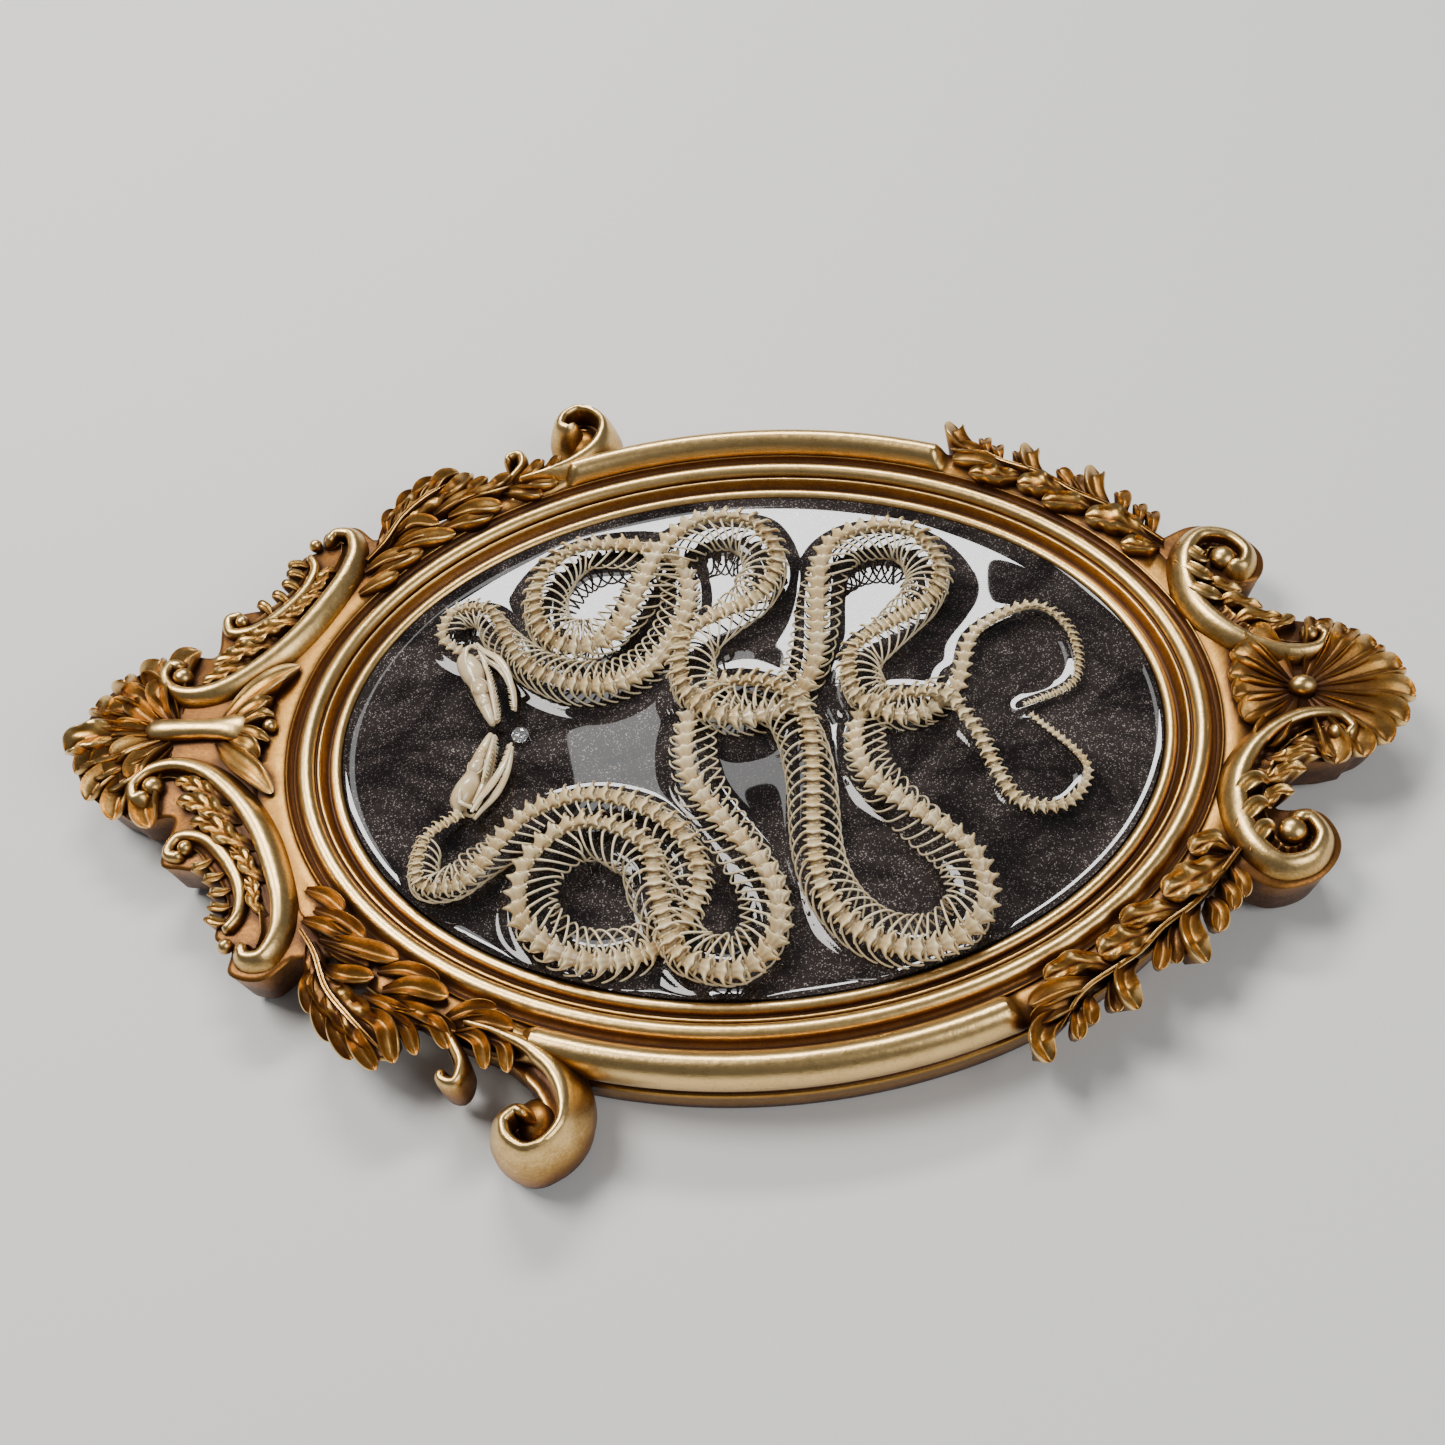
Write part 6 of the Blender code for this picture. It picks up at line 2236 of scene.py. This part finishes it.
    def finish(self, builder: MeshBuilder, word: str) -> None:
        """Make the object of one piece and dress it.

        Args:
            builder: Its mesh.
            word: The piece's name.
        """
        item = builder.build_object(f"{self.name}_{word}", self.bone, 70.0)
        nodes = [self.nodes[word]] if word in self.nodes else []
        settle(item, "bone", *nodes)

    def build_cranium(self) -> None:
        """Make braincase, orbits, snout and the bones that carry the jaw."""
        builder = MeshBuilder()
        rings, shades = [], []
        for share, depth, width, shift in self.stations:
            ring = []
            for t in circle(self.sides):
                crest = 1.0 + 0.10 * max(0.0, -math.cos(t)) ** 8
                ring.append((share * self.length, shift + depth * crest * math.cos(t),
                             width * math.sin(t)))
            rings.append(ring)
            shade = next(value for end, value in self.shades if share < end)
            shades.append(np.full(self.sides, shade))
        self.add(builder, rings, np.array(shades).ravel())
        self.pair(builder, [(12.4 + 2.75 * math.cos(t), 0.3 + 2.05 * math.sin(t), 1.5)
                            for t in np.linspace(0.25 * math.pi, 1.55 * math.pi, 16)],
                  (0.1, 0.24, 0.1), (0.1, 0.4, 0.1), 0.4)
        self.pair(builder, ((6.4, -0.9, 2.2), (3.6, -0.6, 2.7), (1.0, 0.3, 2.7)),
                  (0.5, 0.6, 0.5), (0.4, 0.5, 0.45))
        self.pair(builder, ((1.0, 0.2, 2.7), (0.4, 1.7, 2.6), (*self.hinge, 1.9)),
                  (0.7, 0.45, 0.65), (0.45, 0.4, 0.5))
        for side in (1.0, -1.0):
            for (ahead, down, lift), radii, hollow in self.swellings:
                self.ball(builder, (ahead, down, lift * side), radii, hollow)
        self.tube(builder, ((-1.6, -0.4, 0.0), (-0.6, -0.45, 0.0), (0.8, -0.5, 0.0)),
                  (0.5, 0.95, 1.1), (0.6, 1.05, 1.2), 0.3)
        self.finish(builder, "cranium")

    def build_upper_jaw(self) -> None:
        """Make the toothed bones of the upper jaw and palate."""
        builder = MeshBuilder()
        maxilla = self.pair(builder, ((8.6, 3.5, 1.9), (12.0, 3.1, 2.1), (16.0, 2.6, 1.9),
                                      (19.5, 2.0, 1.4), (22.2, 1.3, 0.5)),
                            (0.35, 0.6, 0.65, 0.5, 0.35), (0.35, 0.45, 0.5, 0.4, 0.3))
        palate = self.pair(builder, ((1.6, 3.2, 1.5), (5.0, 3.5, 1.3), (9.5, 3.3, 0.8),
                                     (14.0, 2.9, 0.6), (18.0, 2.3, 0.5)),
                           (0.3, 0.65, 0.5, 0.4, 0.3), (0.25, 0.35, 0.35, 0.3, 0.25))
        for courses, first, count, length in ((maxilla, 0.08, 16, 0.95), (palate, 0.3, 14, 0.7)):
            for course in courses:
                self.teeth(builder, course, first, count, (-0.15, 1.0, 0.0), length)
        self.pair(builder, ((8.9, 3.3, 1.9), (8.0, 3.5, 1.4), (7.4, 3.5, 1.0)),
                  (0.35, 0.4, 0.35), (0.3, 0.3, 0.3))
        self.finish(builder, "upper_jaw")

    def build_mandible(self, word: str, lift: float) -> None:
        """Make one half of the lower jaw.

        Args:
            word: The piece's name.
            lift: How far off the middle plane it lies, in mm.
        """
        builder = MeshBuilder()
        b = self.bow
        course = self.tube(builder, ((self.hinge[0] - 1.2, self.hinge[1] + 0.3, lift * 0.75),
                                     (self.hinge[0] + 1.6, self.hinge[1] + 1.0 + 0.3 * b,
                                      lift * 0.9), (6.5, 6.0 + b, lift * 1.05),
                                     (11.5, 7.0 + b, lift), (16.0, 7.1 + 0.6 * b, lift * 0.75),
                                     (20.6, 6.5 + 0.2 * b, lift * 0.35)),
                           (0.45, 0.75, 1.05, 0.85, 0.6, 0.35), (0.4, 0.4, 0.38, 0.36, 0.34, 0.25),
                           hollow=0.02, sides=14)
        self.teeth(builder, course, 0.56, 15, (-0.15, -1.0, 0.0), 0.85)
        self.finish(builder, word)

    def build(self) -> None:
        """Make the whole skull."""
        self.build_cranium()
        self.build_upper_jaw()
        self.build_mandible("lower_jaw_top", 2.3)
        self.build_mandible("lower_jaw_bottom", -2.1)


@dataclass
class ClearStone:
    """The faceted clear stone at the jaw tips."""

    centre: tuple = (-56.5, -1.6)
    radius: float = 2.3
    sides: int = 8
    # (share of the radius, height over the resin, half step turned)
    levels: tuple = ((0.15, 0.35, 0), (0.98, 1.35, 0), (1.0, 1.6, 0), (0.84, 2.4, 1),
                     (0.56, 2.95, 0), (0.30, 3.1, 1))

    def build(self, crystal: Material) -> None:
        """Make the stone and dress it.

        Args:
            crystal: The clear finish.
        """
        builder = MeshBuilder()
        rings = []
        for share, height, turned in self.levels:
            turns = (np.arange(self.sides) + 0.5 * turned) * 2 * math.pi / self.sides
            rings.append(np.column_stack([self.centre[0] + self.radius * share * np.cos(turns),
                                          self.centre[1] + self.radius * share * np.sin(turns),
                                          np.full(self.sides, RESIN_LEVEL + height)]))
        builder.add_tube(np.array(rings))
        item = builder.build_object("cut_stone", crystal, 1.0)
        item.data.shade_flat()
        settle(item, "clear_stone", "clear_stone")


# ---- resin ----------------------------------------------------------------------------------
@dataclass
class ResinPool:
    """The resin with its surface drawn up round the bones and along the sight edge."""

    cells: int = 260
    floor_level: float = 3.3
    inset: float = 0.1
    bone_rise: float = 1.15
    bone_reach: float = 1.15            # mm over which the rise dies away
    blend: float = 2.5                  # how sharply the rises of two bones meet
    edge_rise: float = 0.9
    edge_reach: float = 1.3
    foot_step: float = 1.0              # mm between the places that draw the resin up
    cage_share: float = 0.62            # the cage's half width at the resin, as a share
    cage_overrun: float = 6.0           # mm that the cage reaches past the last rib
    tail_half: float = 1.1

    def disc(self) -> "tuple[np.ndarray, np.ndarray]":
        """Press a square grid into a circle.

        Returns:
            Both plan values of each point, from -1 to 1.
        """
        steps = np.linspace(-1, 1, self.cells)
        a, b = np.meshgrid(steps, steps, indexing="ij")
        outer = np.where(np.abs(a) > np.abs(b), a, b)
        inner = np.where(np.abs(a) > np.abs(b), b, a)
        safe = np.where(np.abs(outer) < 1e-9, 1e-9, outer)
        turn = (math.pi / 4) * inner / safe
        first, second = outer * np.cos(turn), outer * np.sin(turn)
        x = np.where(np.abs(a) > np.abs(b), first, second)
        y = np.where(np.abs(a) > np.abs(b), second, first)
        return x, y

    def rise(self, places: np.ndarray, radius: np.ndarray, feet: np.ndarray,
             reach: np.ndarray) -> np.ndarray:
        """Return how far the surface is drawn up.

        Args:
            places: Plan of the surface's points in mm.
            radius: Their distance from the middle as a share of the sight edge.
            feet: Plan of the body's middle points.
            reach: Half width of the body at each of them, at the resin.

        Returns:
            Heights in mm.
        """
        pull = np.zeros(len(places))
        for start in range(0, len(places), 4096):
            part = places[start:start + 4096]
            gap = np.linalg.norm(part[:, None, :] - feet[None, :, :], axis=2) - reach[None, :]
            near = np.exp(-self.blend * np.maximum(gap, 0.0) / self.bone_reach)
            pull[start:start + 4096] = near.sum(axis=1) ** (1.0 / self.blend)
        bones = self.bone_rise * np.tanh(0.8 * pull)
        edge = self.edge_rise * np.exp((radius - 1) * SIGHT_HALF_WIDTH / self.edge_reach)
        return bones + edge

    def build(self, resin: Material, bodies: "tuple[Skeleton, ...]") -> None:
        """Make the pool and dress it.

        Args:
            resin: The resin's finish.
            bodies: The skeletons that lie in it.
        """
        x, y = self.disc()
        radius = np.hypot(x, y).ravel()
        places = np.column_stack([x.ravel() * (SIGHT_HALF_LENGTH - self.inset),
                                  y.ravel() * (SIGHT_HALF_WIDTH - self.inset)])
        feet, reach = [], []
        for body in bodies:
            line = body.line
            cage_end = line.length - line.tail_length + self.cage_overrun
            for place in np.arange(0.0, line.length, self.foot_step):
                half = body.cage_half_width * self.cage_share
                feet.append(line.core(place)[:2])
                reach.append((half if place < cage_end else self.tail_half) * line.scale(place))
        heights = self.rise(places, radius, np.array(feet), np.array(reach))
        top = np.column_stack([places, RESIN_LEVEL + heights])
        builder = MeshBuilder()
        first = builder.add_points(top, 0.0)
        n = self.cells
        for i in range(n - 1):
            for j in range(n - 1):
                a = first + i * n + j
                builder.faces.append((a, a + 1, a + n + 1, a + n))
        rim = [first + j for j in range(n)] + [first + i * n + n - 1 for i in range(1, n)]
        rim += [first + (n - 1) * n + j for j in range(n - 2, -1, -1)]
        rim += [first + i * n for i in range(n - 2, 0, -1)]
        under = top[rim]
        under[:, 2] = self.floor_level
        second = builder.add_points(under, 0.0)
        count = len(rim)
        for k in range(count):
            m = (k + 1) % count
            builder.faces.append((rim[k], rim[m], second + m, second + k))
        builder.faces.append(tuple(range(second, second + count)))
        settle(builder.build_object("resin_pool", resin, 60.0), "black_resin", "resin_bed")


def main() -> None:
    """Build the mount, its studio and its camera."""
    logging.basicConfig(level=logging.INFO, format="%(name)s %(message)s")
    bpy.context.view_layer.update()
    PhotoView().build()
    Studio().build()
    gold = Gilding().build("antique_gold")
    bone = DryBone().build("vertebra_bone")
    # the ribs take a darker copy of the bone: painted shade beneath the column
    shaded_rib_bone = DryBone(light=(0.80, 0.70, 0.48), warm=(0.70, 0.54, 0.31), gloss=0.26).build(
        "shaded_rib_bone")
    Moulding().build(gold)
    BackBoard().build(StainedBoard().build("back_board"))
    Crest(gold).build()
    Foot(gold).build()
    for half in Half:
        SideVolute(gold, half).build()
        LeafRow(gold, f"garland_left_{half.value}", "spray", half, SPRAY_LEAVES, SPRAY_STEM,
                SPRAY_CURL).build()
        LeafRow(gold, f"garland_right_{half.value}", "leaves", half, GARLAND_LEAVES,
                GARLAND_STEM).build()
    trunk_nodes = tuple(f"snake_{part}_{side}" for part in
                        ("neck", *(f"trunk_{number}" for number in range(1, 6)))
                        for side in ("left", "right"))
    lower = Skeleton("near_snake", BodyLine(LOWER_LINE), trunk_nodes + ("snake_tail",), 11)
    upper = Skeleton("far_snake", BodyLine(UPPER_LINE), ("companion_snake",), 23)
    trees = BoneTrees()
    form = VertebraForm().build(bone)
    lower.build(upper, bone, shaded_rib_bone, form, trees)
    upper.build(lower, bone, shaded_rib_bone, form, trees)
    bpy.data.objects.remove(form, do_unlink=True)
    skull_bone = DryBone(light=(0.86, 0.73, 0.48), warm=(0.74, 0.47, 0.19), gloss=0.2).build(
        "skull_bone")
    words = ("cranium", "upper_jaw", "lower_jaw_top", "lower_jaw_bottom")
    Skull(SkullPlace((-69.0, -24.6), 76.0), "near_skull", skull_bone,
          {word: f"snake_{word}" for word in words}).build()
    Skull(SkullPlace((-72.0, 23.6), -69.5, stretch=1.1), "far_skull", skull_bone, {}, bow=1.0,
          hinge=(0.8, 3.0)).build()
    ClearStone().build(CutCrystal().build("clear_stone"))
    ResinPool().build(GlitterResin().build("black_resin"), (lower, upper))


if __name__ == "__main__":
    main()
